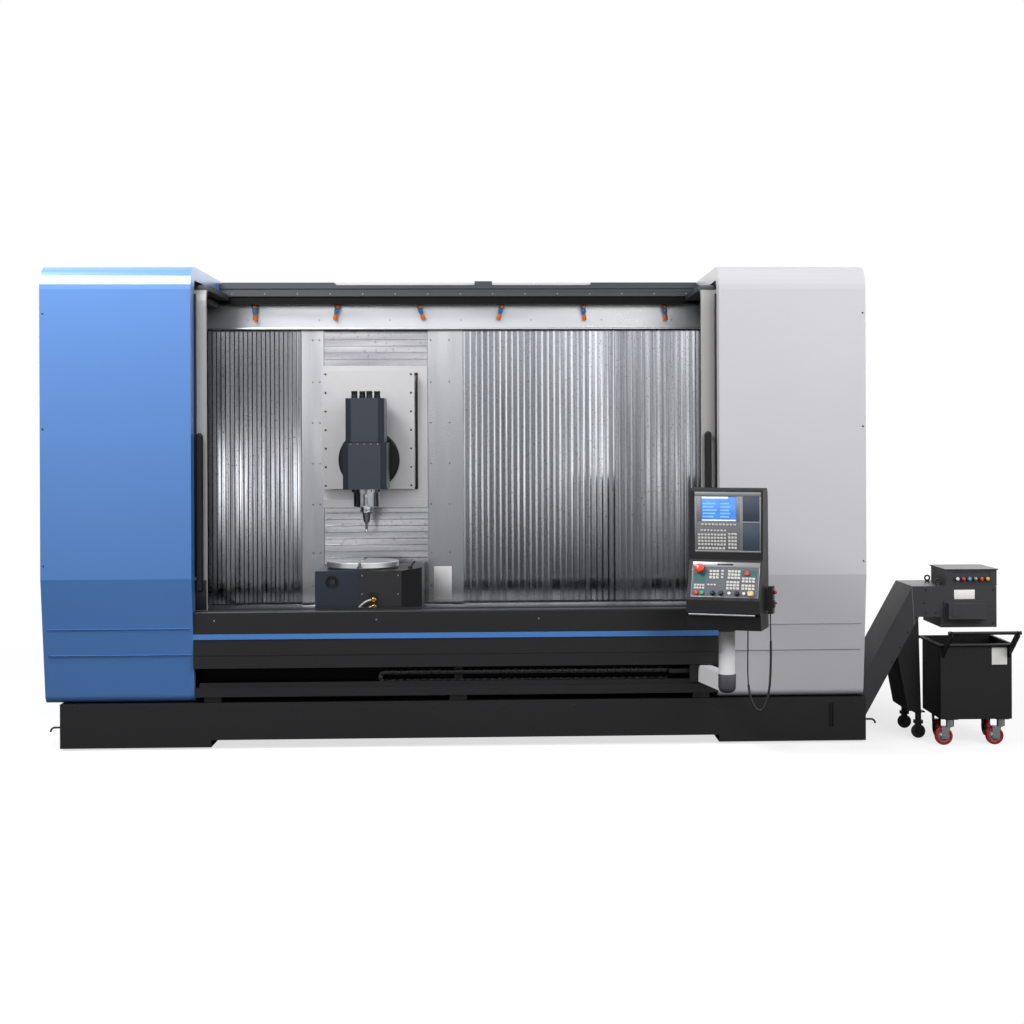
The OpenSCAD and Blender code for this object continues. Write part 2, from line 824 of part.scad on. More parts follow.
// Roof beam: rail band over a recessed band, with light plates and a box on top
module roof_beam() {
    y0 = fy + beam_y;
    y1 = y0 + beam_d;
    z1 = beam_z + beam_h;
    zs = beam_z + 58;
    g = 10;
    plate = 22;
    bedded = 6;
    plate_end = 970;
    box_x = 110;
    box_w = 135;
    color(anthracite) {
        along_x(-half_open, half_open) polygon([[y0 + 14, beam_z], [y1, beam_z], [y1, z1], [y0, z1],
            [y0, z1 - 28], [y0 + g, z1 - 32], [y0 + g, z1 - 52], [y0, z1 - 56], [y0, zs], [y0 + 14, zs]]);
        for (x = [[-half_open + 10, -plate_end], [plate_end + 40, half_open - 10]])
            span([x[0], y0 + 30, z1 - bedded], [x[1], y1, z1 + plate]);
        span([box_x, y0 + 30, z1 - bedded], [box_x + box_w, y1 - 20, machine_h]);
    }
}

module header_panel() {
    lip = 14;
    y = roof_split_y;
    color(stainless) along_x(-inner_w, inner_w) polygon([[y, beam_z + 16], [y + header_t, beam_z + 16],
        [y + header_t, header_z], [y - lip, header_z], [y - lip, header_z + 6], [y, header_z + 12]]);
}

// One adjustable nozzle: screwed foot, then ball, link and flared tip in one turning
module nozzle(x, lean) {
    y = fy + beam_y + 70;
    rod_z(x, y, beam_z - 16, beam_z, 28);
    translate([x, y, beam_z - 22]) rotate([25, lean, 0]) rotate_extrude()
        polygon([[0, 16], [8, 14], [14, 8], [16, 0], [14, -8], [11, -12], [14, -18], [14, -40], [10, -44],
            [12, -50], [12, -64], [8, -70], [13, -88], [13, -100], [0, -100]]);
}

module coolant_nozzles() {
    count = 6;
    side_gap = 255;
    reach = half_open - side_gap;
    color("#d9691e") for (i = [0:count - 1])
        nozzle(-reach + 2 * reach * i / (count - 1), 20 * sin(140 * i));
}

// Rear wall and rear roof, folded as one, with seams between its panels
module rear_enclosure() {
    panels = 5;
    pitch = 2 * inner_w / panels;
    louvre_z = 700;
    louvre_pitch = 40;
    louvre_w = 520;
    louvre_h = 14;
    color(cover_grey) difference() {
        along_x(-inner_w, inner_w) polygon([[roof_split_y, machine_h], [ry, machine_h], [ry, base_top_z],
            [ry - rear_skin, base_top_z], [ry - rear_skin, machine_h - rear_skin],
            [roof_split_y, machine_h - rear_skin]]);
        for (i = [1:panels - 1]) {
            x = -inner_w + i * pitch;
            span([x - seam_w / 2, ry - seam_depth, base_top_z - 1], [x + seam_w / 2, ry + 1, machine_h + 1]);
            span([x - seam_w / 2, roof_split_y - 1, machine_h - seam_depth],
                [x + seam_w / 2, ry, machine_h + 1]);
        }
        for (i = [0:panels - 1], k = [0:13]) {
            x = -inner_w + (i + 0.5) * pitch;
            z = louvre_z + louvre_pitch * k;
            span([x - louvre_w / 2, ry - 10, z], [x + louvre_w / 2, ry + 1, z + louvre_h]);
        }
    }
}

// Section of a slat wall from a to b: flat slats with one raised bead each
function slat_section(a, b, y, n) = let (p = (b - a) / n, bead = 9, proud = 7)
    concat([[b, y + wall_t], [a, y + wall_t]],
        [for (i = [0:n - 1]) each [[a + i * p, y], [a + (i + 1) * p - bead, y],
            [a + (i + 1) * p - bead, y - proud], [a + (i + 1) * p, y - proud]]]);

module x_bellows() {
    sides = [[-inner_w, column_x0 - glide, left_slat_pitch], [column_x1 + glide, inner_w, slat_pitch]];
    color(stainless) for (s = sides)
        translate([0, 0, wall_z0]) linear_extrude(wall_z1 - wall_z0)
            polygon(slat_section(s[0], s[1], wall_y, round((s[1] - s[0]) / s[2])));
}

// Slat covers above and below the saddle, each hooked to the casting at its end
module z_bellows() {
    runs = [[wall_z0, saddle_z0 - glide], [saddle_z1 + glide, wall_z1]];
    hook = 12;
    x0 = shaft_x0 + saddle_gap;
    x1 = shaft_x1 - saddle_gap;
    color(stainless) {
        for (r = runs) along_x(x0, x1) mirror([1, -1])
            polygon(slat_section(r[0], r[1], wall_y, round((r[1] - r[0]) / saddle_slat_pitch)));
        for (z = [wall_z0, wall_z1 - hook])
            span([x0, wall_y + wall_t, z], [x1, casting_y0, z + hook]);
    }
}

// Folded front frame of the column with raised outer strips
module column_frame() {
    f = frame_strip;
    back = casting_y0;
    left_strip = 62;
    right_strip = 79;
    t = frame_t;
    z0 = wall_z0;
    z1 = shaft_z1 + 60;
    color(stainless) difference() {
        union() {
            span([column_x0, frame_y + f, z0], [column_x1, frame_y + f + t, z1]);
            span([column_x0, frame_y, z0], [column_x0 + left_strip, frame_y + f, z1]);
            span([column_x1 - right_strip, frame_y, z0], [column_x1, frame_y + f, z1]);
            for (x = [column_x0, column_x1 - t, shaft_x0 - t, shaft_x1])
                span([x, frame_y + f, z0], [x + t, back, z1]);
        }
        span([shaft_x0, frame_y - 1, z0 - 1], [shaft_x1, back + 1, z1 + 1]);
    }
}

// Column casting: portal with box ways for the saddle and runners on the rails
module column_casting() {
    rc = glide;
    nut_w = 120;
    color(cast) difference() {
        union() {
            span([column_x0, casting_y0, casting_z0], [column_x1, casting_y1, casting_z1]);
            for (x = [column_x0, column_x1 - runner_l], y = rail_y)
                span([x, y - runner_w / 2, rail_z + 14], [x + runner_l, y + runner_w / 2, casting_z0]);
            span([column_x - nut_w, screw_y - nut_w / 2, screw_z - screw_d / 2 - 10],
                [column_x + nut_w, screw_y + nut_w / 2, casting_z0]);
        }
        difference() {
            span([shaft_x0, casting_y0 - 1, shaft_z0], [shaft_x1, casting_y1 + 1, shaft_z1]);
            for (x = [shaft_x0, shaft_x1 - way_t])
                span([x, way_y, shaft_z0], [x + way_t, way_y + way_w, shaft_z1]);
        }
        for (y = rail_y)
            span([column_x0 - 1, y - rail_w / 2 - rc, rail_z],
                [column_x1 + 1, y + rail_w / 2 + rc, rail_z + rail_w + rc]);
        rod_x(column_x0, column_x1, screw_y, screw_z, screw_d + 2 * running);
        for (x = [column_x0 + 60:180:shaft_x0 - 90])
            span([x, casting_y1 - 60, shaft_z0], [x + 60, casting_y1 + 1, shaft_z1]);
    }
}

// Saddle block between the ways, with a square passage for the ram
module saddle() {
    x0 = shaft_x0 + saddle_gap;
    x1 = shaft_x1 - saddle_gap;
    c = glide;
    lip = 40;
    lip_h = 62;
    color(cast) difference() {
        union() {
            span([x0, saddle_y0, saddle_z0], [x1, saddle_y1, saddle_z1]);
            span([x0, saddle_y0 - lip, saddle_z0], [x1, saddle_y0, saddle_z0 + lip_h]);
        }
        span([spindle_x - ram_w / 2 - c, saddle_y0 - 1, ram_z0 - c],
            [spindle_x + ram_w / 2 + c, saddle_y1 + 1, ram_z1 + c]);
        for (x = [x0 - 1, x1 - way_t - c])
            span([x, way_y - c, saddle_z0 - 1], [x + way_t + c + 1, way_y + way_w + c, saddle_z1 + 1]);
    }
}

// Ram with its front plate and the bearing bore of the swivel axis
module ram() {
    y = plate_y + plate_t;
    screw_in = 26;
    color(stainless) difference() {
        union() {
            span([plate_x - plate_w / 2, plate_y, plate_z0], [plate_x + plate_w / 2, y, plate_z1]);
            span([spindle_x - ram_w / 2, y, ram_z0], [spindle_x + ram_w / 2, ram_y1, ram_z1]);
        }
        rod_y(spindle_x, plate_y - 1, plate_y + swivel_shaft_h + 10, swivel_z, swivel_shaft_d + 2 * running);
        for (sx = [-1, 1], z = [plate_z0 + screw_in:(plate_z1 - plate_z0 - 2 * screw_in) / 6:plate_z1])
            rod_y(plate_x + sx * (plate_w / 2 - screw_in), plate_y - 1, plate_y + 6, z, 18);
    }
}

module swivel_disc() {
    y = plate_y - glide;
    color(black) {
        translate([spindle_x, y - swivel_t, swivel_z]) rotate([-90, 0, 0]) rotate_extrude()
            polygon([[0, 0], [swivel_d / 2 - 10, 0], [swivel_d / 2, 10], [swivel_d / 2, swivel_t],
                [0, swivel_t]]);
        rod_y(spindle_x, y, y + swivel_shaft_h, swivel_z, swivel_shaft_d);
    }
}

// Octagonal block about the spindle axis
module head_block(w, y0, y1, z0, z1) {
    c = head_chamfer;
    translate([spindle_x, 0, z0]) linear_extrude(z1 - z0) polygon([[c - w / 2, y0], [w / 2 - c, y0],
        [w / 2, y0 + c], [w / 2, y1 - c], [w / 2 - c, y1], [c - w / 2, y1], [-w / 2, y1 - c],
        [-w / 2, y0 + c]]);
}

module head_housing() {
    joint_h = 6;
    connector_d = 44;
    color(head_blue) difference() {
        union() {
            head_block(head_w, head_y0, head_y1, head_bottom_z, head_split_z - joint_h);
            head_block(head_upper_w - 16, head_y0 + 34, head_y1 - 34, head_split_z - joint_h, head_split_z);
            head_block(head_upper_w, head_y0 + 26, head_y1 - 26, head_split_z, head_top_z);
        }
        rod_z(spindle_x, spindle_at[1], head_bottom_z - 1, head_split_z - 60, spindle_d + 2 * running);
    }
    color(black) for (i = [0:3])
        rod_z(spindle_x - 84 + 56 * i, spindle_at[1] - 60 + 40 * (i % 2), head_top_z, head_top_z + 55,
            connector_d);
}

// Nose: flange with bolts over slotted coolant ring
module spindle_nose() {
    flange_h = 26;
    wall = 26;
    slots = 6;
    color(steel) translate(spindle_at) difference() {
        union() {
            translate([0, 0, head_bottom_z - flange_h]) cylinder(h = flange_h, d = nose_d + 16);
            translate([0, 0, nose_z]) cylinder(h = nose_h, d = nose_d - 14);
        }
        translate([0, 0, nose_z - 1]) cylinder(h = nose_h + 2, d = nose_d - 14 - 2 * wall);
        for (i = [0:slots - 1]) rotate([0, 0, 30 + 360 / slots * i])
            span([nose_d / 4, -16, nose_z - 1], [nose_d, 16, head_bottom_z - flange_h - 14]);
    }
}

module spindle_shaft() {
    top_z = head_split_z - 70;
    color(steel) translate(spindle_at) rotate_extrude() polygon([[0, top_z], [spindle_d / 2, top_z],
        [spindle_d / 2, nose_z + 6], [spindle_d / 2 - 8, nose_z - 4], [50, nose_z - 4], [50, nose_z - 14],
        [43, nose_z - 18], [43, nose_z - 24], [50, nose_z - 28], [50, nose_z - 38], [34, nose_z - 44],
        [22, nose_z - 120], [0, nose_z - 120]]);
}

module cutting_tool() {
    holder_z = nose_z - 120;
    r = 12;
    color(steel) translate(spindle_at) rotate_extrude() polygon([[0, holder_z], [r, holder_z],
        [r - 2, tool_tip_z + 20], [2, tool_tip_z], [0, tool_tip_z]]);
}

// Door section: front panel, rounded corner and roof panel in one fold
module door_section(y, top) {
    r = door_corner_r;
    t = door_t;
    polygon(concat([[y, door_z]], arc([y + r, top - r], r, r, 180, 90), [[door_roof_y1, top],
        [door_roof_y1, top - t]], arc([y + r, top - r], r - t, r - t, 90, 180), [[y + t, door_z]]));
}

// Leading door with a window, its leading edge at x = 0 and its body to the right
module leading_door() {
    difference() {
        along_x(0, door_w) door_section(door_y, door_roof_z);
        span([window_x0, door_y - 1, window_z], [window_x1, door_y + door_t + 1, window_z + window_h]);
        span([window_x0 - window_lap, door_y + door_t / 2, window_z - window_lap],
            [window_x1 + window_lap, door_y + door_t / 2 + window_t, window_z + window_h + window_lap]);
    }
}

module door_pane() {
    y = door_y + door_t / 2;
    span([window_x0 - window_lap, y, window_z - window_lap],
        [window_x1 + window_lap, y + window_t, window_z + window_h + window_lap]);
}

// Bow handle: bar with sloped flanks and round ends, on two feet on the stile
module door_handle() {
    x = 38;
    y = door_y - handle_reach - handle_t / 2;
    slope = 20;
    ends = [handle_z + handle_w / 2, handle_z + handle_h - handle_w / 2];
    hull() for (z = ends) translate([x, y, z]) rotate([-90, 0, 0])
        cylinder(h = handle_t, d1 = handle_w - slope, d2 = handle_w, $fn = 32);
    for (z = ends) rod_y(x, y + handle_t, door_y, z, handle_w - slope);
}

module inner_door() {
    along_x(0, door_w) door_section(inner_door_y, inner_roof_z);
}

module right_door() {
    color(cover_grey) translate([right_door_x, 0, 0]) leading_door();
}

module right_door_window() {
    color("#a9c2cc", 0.5) translate([right_door_x, 0, 0]) door_pane();
}

module right_door_handle() {
    color(black) translate([right_door_x, 0, 0]) door_handle();
}

module right_inner_door() {
    color(cover_grey) translate([inner_door_x, 0, 0]) inner_door();
}

module left_door() {
    color(cover_grey) translate([-left_door_x, 0, 0]) left() leading_door();
}

module left_door_window() {
    color("#a9c2cc", 0.5) translate([-left_door_x, 0, 0]) left() door_pane();
}

module left_door_handle() {
    color(black) translate([-left_door_x, 0, 0]) left() door_handle();
}

module left_inner_door() {
    color(cover_grey) translate([-inner_door_x, 0, 0]) left() inner_door();
}

// Arm: carriage over the guide rail, sloped tube to the elbow, upright post
module pendant_arm() {
    c = glide;
    elbow_d = post_d + 6;
    elbow_r = 40;
    elbow_z = arm_z0 - 8;
    y0 = guide_y - 36;
    tube_w = 84;
    color("#d8d8da") {
        difference() {
            span([slot_arm_x - carriage_w / 2, y0, arm_z0],
                [slot_arm_x + carriage_w / 2, guide_y + 36, arm_z1]);
            span([slot_arm_x - carriage_w, guide_y - guide_w / 2 - c, ledge_z],
                [slot_arm_x + carriage_w, guide_y + guide_w / 2 + c, ledge_z + guide_h + c]);
        }
        span([chain_x1, guide_y + 30, chain_top_z - chain_t], [slot_arm_x, chain_y0 + chain_w, chain_top_z]);
        difference() {
            translate([0, 0, arm_z0]) linear_extrude(arm_z1 - arm_z0) polygon([
                [slot_arm_x - tube_w / 2, y0], [post_x - tube_w / 2, post_at[1]],
                [post_x + tube_w / 2, post_at[1]], [slot_arm_x + tube_w / 2, y0]]);
            rod_z(post_x, post_at[1], arm_z0 - 1, arm_z1 + 1, post_d);
        }
        translate([post_x, post_at[1], 0]) rotate_extrude() polygon(concat([[0, elbow_z]],
            arc([elbow_d / 2 - elbow_r, elbow_z + elbow_r], elbow_r, elbow_r, -90, 0),
            [[elbow_d / 2, arm_z1], [0, arm_z1]]));
        rod_z(post_x, post_at[1], arm_z1, pendant_z - glide, post_d);
        rod_z(post_x, post_at[1], pendant_z - glide, pendant_z + spigot_h - 6, spigot_d);
    }
}

// Places geometry in the pendant's own frame, turned about the post
module on_pendant() {
    translate(post_at) rotate([0, 0, -pendant_turn]) children();
}

// Places geometry on the sloped operation panel: x, up the slope, out of it
module on_panel() {
    on_pendant() translate([0, panel_foot[0], panel_foot[1]]) rotate([90 - panel_tilt, 0, 0]) children();
}

// Case in side view: box under the panel, lip, sloped panel, screen part
module pendant_case() {
    rail_d = 14;
    gland_at = [150, -22];
    color(black) difference() {
        union() {
            on_pendant() along_x(case_x0, case_x1) polygon([[case_back, pendant_z], [-196, pendant_z],
                [-206, pendant_z + 96], [lip_y, pendant_z + 116], [lip_y, panel_foot[1] - 12], panel_foot,
                panel_head, [-130, 1352], [-130, 1394], [screen_y - 6, screen_z0 - 4],
                [screen_y, screen_z1 + 8], [screen_y + 14, case_top_z], [20, case_top_z], [44, 1800],
                [case_back, 1250]]);
            on_pendant() rod_z(gland_at[0], gland_at[1], pendant_z - 20, pendant_z, 24);
        }
        on_pendant() rod_z(0, 0, pendant_z - 1, pendant_z + spigot_h, spigot_d + 2 * running);
        on_pendant() span([screen_x0, -200, screen_z0], [screen_x1, screen_y + 8, screen_z1]);
        on_panel() span([case_x0 + 26, 8, -panel_t], [case_x1 - 14, panel_l - 6, 20]);
        on_panel() translate([stop_at[0], stop_at[1], -panel_t - stop_depth])
            cylinder(h = stop_depth + 1, d = stop_bore);
    }
    color(steel) on_pendant() rod_x(case_x0 + 16, case_x1 - 36, lip_y + 14, pendant_z + 105, rail_d);
}

// A block of small keys: columns, rows, place, pitch and key size
module keys(columns, rows, at, pitch, size) {
    for (i = [0:columns - 1], k = [0:rows - 1])
        translate([at[0] + i * pitch[0], at[1] + k * pitch[1], 0]) cube([size[0], size[1], key_t]);
}

// Screen unit: framed screen, rows of keys below it, two blank plates beside it
module screen_unit() {
    w = screen_x1 - screen_x0;
    h = screen_z1 - screen_z0;
    t = 10;
    view = [45, 208, 288, 370];
    color("#8d8f94") on_pendant() translate([screen_x0, screen_y + 8, screen_z0]) rotate([90, 0, 0]) {
        difference() {
            cube([w, h, t]);
            translate([view[0], view[1], t - 4]) cube([view[2] - view[0], view[3] - view[1], 5]);
        }
        translate([0, 0, t]) {
            keys(10, 1, [46, 180], [24.5, 0], [17, 12]);
            keys(8, 1, [40, 140], [23, 0], [15, 11]);
            keys(9, 4, [24, 44], [22, 22], [15, 14]);
            keys(3, 5, [232, 22], [21, 23], [15, 15]);
            keys(8, 1, [24, 18], [24, 0], [18, 14]);
            keys(1, 2, [332, 14], [0, 186], [112, 176]);
        }
    }
}

// Operation panel: plate with key blocks, round buttons and fixed knobs
module operation_panel() {
    x0 = case_x0 + 26;
    color("#4a4e52") on_panel() {
        difference() {
            translate([x0, 8, -panel_t]) cube([pendant_w - 40, panel_l - 14, panel_t]);
            translate([stop_at[0], stop_at[1], -panel_t - 1]) cylinder(h = panel_t + 2, d = stop_bore);
            translate([knob_at[0], knob_at[1], -panel_t - 1]) cylinder(h = panel_t + 2, d = 14);
        }
        keys(3, 3, [x0 + 120, 134], [23, 22], [18, 16]);
        keys(1, 3, [x0 + 200, 138], [0, 22], [16, 14]);
        keys(4, 3, [x0 + 246, 134], [22, 22], [18, 17]);
        keys(4, 2, [x0 + 344, 112], [23, 20], [18, 15]);
        keys(4, 3, [x0 + 240, 62], [23, 21], [18, 16]);
        keys(4, 2, [x0 + 344, 62], [23, 21], [18, 16]);
        keys(4, 2, [x0 + 18, 62], [19, 19], [15, 14]);
        keys(3, 1, [x0 + 110, 86], [22, 0], [14, 12]);
        for (x = [38, 76]) translate([x0 + x, 36, 0]) cylinder(h = 12, d = 28);
        for (x = [150, 206, 316]) translate([x0 + x, 36, 0]) cylinder(h = 20, d = 34);
        for (x = [262, 362]) translate([x0 + x, 36, 0]) cylinder(h = 8, d = 22);
        translate([x0 + 362, 160, 0]) cylinder(h = 12, d = 30);
    }
}

module emergency_stop() {
    travel = 6;
    color("#d8401c") on_panel() translate([stop_at[0], stop_at[1], 0]) {
        translate([0, 0, -panel_t + 0.5]) cylinder(h = panel_t + 24, d = stop_bore - 2 * glide);
        translate([0, 0, travel + 12]) rotate_extrude() polygon([[0, 0], [stop_d / 2 - 6, 0], [stop_d / 2, 6],
            [stop_d / 2, 12], [stop_d / 2 - 10, 20], [0, 23]]);
    }
}

module feed_knob() {
    color("#d9cfae") on_panel() translate([knob_at[0], knob_at[1], 0]) {
        translate([0, 0, -panel_t + 0.5]) cylinder(h = panel_t + 4, d = 14 - 2 * running);
        translate([0, 0, glide]) difference() {
            cylinder(h = 22, d1 = knob_d, d2 = knob_d - 8);
            translate([-2, 6, 18]) cube([4, knob_d, 6]);
        }
    }
}

// Hand unit in its holder on the pendant's right side
module hand_unit() {
    x0 = case_x1;
    color(black) on_pendant() {
        span([x0, -48, 1010], [x0 + 14, 34, 1150]);
        span([x0 + 14, -42, 986], [x0 + 48, 26, 1170]);
        rod_x(x0 + 48, x0 + 56, -8, 1050, 50);
        rod_x(x0 + 56, x0 + 74, -20, 1058, 10);
        rod_x(x0 + 48, x0 + 60, -8, 1130, 22);
    }
}

// Sweeps a ring of points along the cord's route
function unit(v) = v / norm(v);
function heading(path, i) = unit(path[min(i + 1, len(path) - 1)] - path[max(i - 1, 0)]);
function ring(path, i, d, sides) =
    let (t = heading(path, i), side = unit(cross(t, [0, 1, 0])), up = cross(side, t))
    [for (k = [0:sides - 1]) path[i] + d / 2 * (cos(360 * k / sides) * side + sin(360 * k / sides) * up)];
module swept(path, d, sides) {
    n = len(path);
    points = [for (i = [0:n - 1]) each ring(path, i, d, sides)];
    walls = [for (i = [0:n - 2], k = [0:sides - 1]) let (m = (k + 1) % sides)
        [i * sides + k, i * sides + m, (i + 1) * sides + m, (i + 1) * sides + k]];
    caps = [[for (k = [sides - 1:-1:0]) k], [for (k = [0:sides - 1]) (n - 1) * sides + k]];
    polyhedron(points, concat(walls, caps), convexity = 6);
}

module pendant_cord() {
    color(black) on_pendant() translate([0, 0, pendant_z]) swept(cord_route, cord_d, 8);
}

// Place on the rising part's face that lies t above its underside, at height z
function rise_x(z, t) = bend_x + (z - run_z) / tan(conveyor_angle) - t / sin(conveyor_angle);
// Conveyor section inset by t, with the discharge mouth at the given depth
function conveyor_outline(t, mouth_z) = [[run_x0 + t, run_z + t], [rise_x(run_z + t, t), run_z + t],
    [rise_x(head_under + t, t), head_under + t], [mouth_x0 + t, head_under + t], [mouth_x0 + t, mouth_z + t],
    [head_end - t, mouth_z + t], [head_end - t, head_top - t],
        [rise_x(head_top - t, trough_h - t), head_top - t],
    [rise_x(run_z + trough_h - t, trough_h - t), run_z + trough_h - t], [run_x0 + t, run_z + trough_h - t]];

module conveyor_housing() {
    t = trough_t;
    color(anthracite) difference() {
        along_y(conveyor_y0, conveyor_y1) polygon(conveyor_outline(0, head_bottom));
        along_y(conveyor_y0 + t, conveyor_y1 - t) polygon(conveyor_outline(t, head_bottom));
        span([mouth_x0 + mouth_wall, conveyor_y0 + mouth_wall, head_bottom - 1],
            [head_end - mouth_wall, conveyor_y1 - mouth_wall, head_bottom + t + 1]);
        span([run_x0 + 80, conveyor_y0 + mouth_wall, run_z + trough_h - t - 1],
            [table_w / 2, conveyor_y1 - mouth_wall, run_z + trough_h + 1]);
    }
}

// Hinged belt as one closed loop inside the trough, with cleats across it
module conveyor_belt() {
    t0 = trough_t + 0.3;
    t1 = t0 + 10;
    end = 60;
    color(steel) along_y(conveyor_y0 + trough_t + 12, conveyor_y1 - trough_t - 12) difference() {
        intersection() {
            polygon(conveyor_outline(t0, head_under));
            translate([run_x0 + end, 0]) square([head_end - run_x0 - 2 * end, head_top + 10]);
        }
        intersection() {
            polygon(conveyor_outline(t1, head_under));
            translate([run_x0 + end + 10, 0]) square([head_end - run_x0 - 2 * end - 20, head_top + 10]);
        }
    }
}

gear_x0 = 3505;
gear_x1 = 3780;
gear_z0 = 868;
gear_z1 = 978;
module conveyor_gear_cover() {
    d = 80;
    flange = 16;
    color(anthracite) {
        span([gear_x0, conveyor_y0 - d, gear_z0], [gear_x1, conveyor_y0, gear_z1]);
        span([gear_x0 - flange, conveyor_y0 - 8, gear_z0 - flange],
            [gear_x1 + flange, conveyor_y0, gear_z1 + flange]);
        rod_y(gear_x0 + 50, conveyor_y0 - d - 6, conveyor_y0 - d, gear_z1 - 66, 60);
    }
}

// Control box on the discharge head, with lamps and buttons in its front
module conveyor_control_box() {
    x0 = 3514;
    y0 = conveyor_y0 + 20;
    y1 = conveyor_y1 - 60;
    z1 = head_top + 112;
    lid = 8;
    buttons = 6;
    eye_r = 18;
    eye_x = x0 - 46;
    color(anthracite) {
        difference() {
            span([x0, y0, head_top], [head_end + lid, y1, z1]);
            span([x0 + 44, y0 - 1, head_top + 18], [head_end - 40, y0 + 6, z1 - 14]);
        }
        span([x0 - lid, y0 - lid, z1], [head_end + 2 * lid, y1 + lid, z1 + lid]);
        for (i = [0:buttons - 1]) rod_y(x0 + 78 + 44 * i, y0 - 16, y0 + 6, head_top + 50, 30);
        for (y = [y0 + 60, y1 - 60]) {
            rod_z(eye_x, y, head_top, head_top + 10, 30);
            translate([eye_x, y, head_top + eye_r + 10]) rotate([90, 0, 0])
                rotate_extrude() translate([eye_r, 0]) circle(d = 12);
        }
    }
}

// Tapered stand under the rising part, with two castor forks
module conveyor_stand() {
    leg_w = 95;
    leg = [stand_x + 15 - leg_w, stand_x + 15];
    leg_h = 404;
    leg_top_z = stand_z0 + leg_h;
    w = 32;
    cheek = 5;
    crown_z = stand_wheel_d + 30;
    r = stand_wheel_d / 2;
    color(anthracite) {
        along_y(conveyor_y0 + 20, conveyor_y1 - 20) polygon([[leg[0], stand_z0],
            [leg[1], stand_z0], [rise_x(head_under, 0), head_under], [rise_x(leg_top_z, 0), leg_top_z]]);
    }
    color(steel) for (v = stand_y) {
        span([stand_x - 40, v - 40, stand_z0 - 8], [stand_x + 40, v + 40, stand_z0]);
        rod_z(stand_x, v, crown_z, stand_z0 - 8, 44);
        span([stand_x - 30, v - w / 2 - fork_gap - cheek, stand_wheel_d + 6],
            [stand_x + 30, v + w / 2 + fork_gap + cheek, crown_z]);
        for (s = [-1, 1]) translate([0, v + s * (w / 2 + fork_gap + cheek / 2) - cheek / 2, 0])
            span([stand_x - 18, 0, r - 14], [stand_x + 18, cheek, stand_wheel_d + 6]);
        rod_y(stand_x, v - w / 2 - fork_gap - cheek - 4, v + w / 2 + fork_gap + cheek + 4, r, axle_d);
    }
}

// Wheel about the Y axis: tread with round shoulders and a recessed hub
module wheel(d, w) {
    r = d / 2;
    b = axle_d / 2 + running;
    s = 6;
    rotate([90, 0, 0]) rotate_extrude() polygon([[b, -w / 2], [b + 12, -w / 2], [b + 14, -w / 2 + s],
        [r - 20, -w / 2 + s], [r - 16, -w / 2], [r - s, -w / 2], [r - 1.5, -w / 2 + s / 3],
        [r, -w / 4], [r, w / 4],
        [r - 1.5, w / 2 - s / 3], [r - s, w / 2], [r - 16, w / 2], [r - 20, w / 2 - s], [b + 14, w / 2 - s],
        [b + 12, w / 2], [b, w / 2]]);
}

module stand_wheels() {
    color(black) for (v = stand_y)
        translate([stand_x, v, stand_wheel_d / 2]) wheel(stand_wheel_d, 32);
}

// Two cheeks and an axle round a wheel whose axle runs along Y, at the origin
module castor_cheeks(top) {
    w = wheel_w / 2 + fork_gap;
    for (s = [-1, 1]) translate([0, s * (w + fork_t / 2) - fork_t / 2, 0])
        along_y(0, fork_t) polygon([[-20, -18], [20, -18], [44, top], [-20, top]]);
    rod_y(0, -w - fork_t - 4, w + fork_t + 4, 0, axle_d);
}

// Swivel fork: king pin, crown and cheeks trailing to the left
module bin_fork(x) {
    z1 = bin_z - castor_plate_t - glide;
    crown_t = 3;
    crown_z = wheel_d + 2 + crown_t;
    w = wheel_w / 2 + fork_gap + fork_t;
    color(steel) {
        rod_z(x, castor_front_y, z1 - 4, z1 + 8, 20);
        rod_z(x, castor_front_y, crown_z, z1, 56);
        span([x - trail - 20, castor_front_y - w, crown_z - crown_t], [x + 10, castor_front_y + w, crown_z]);
        translate([x - trail, castor_front_y, wheel_z]) castor_cheeks(crown_z - wheel_z);
    }
}

module bin_left_fork() {
    bin_fork(castor_at[0]);
}

module bin_right_fork() {
    bin_fork(castor_at[1]);
}

module bin_wheel(x) {
    color("#a01f24") translate([x - trail, castor_front_y, wheel_z]) wheel(wheel_d, wheel_w);
}

module bin_left_wheel() {
    bin_wheel(castor_at[0]);
}

module bin_right_wheel() {
    bin_wheel(castor_at[1]);
}

module bin_rear_wheels() {
    color("#a01f24") for (x = castor_at)
        translate([x, castor_rear_y, wheel_z]) rotate([0, 0, 90]) wheel(wheel_d, wheel_w);
}

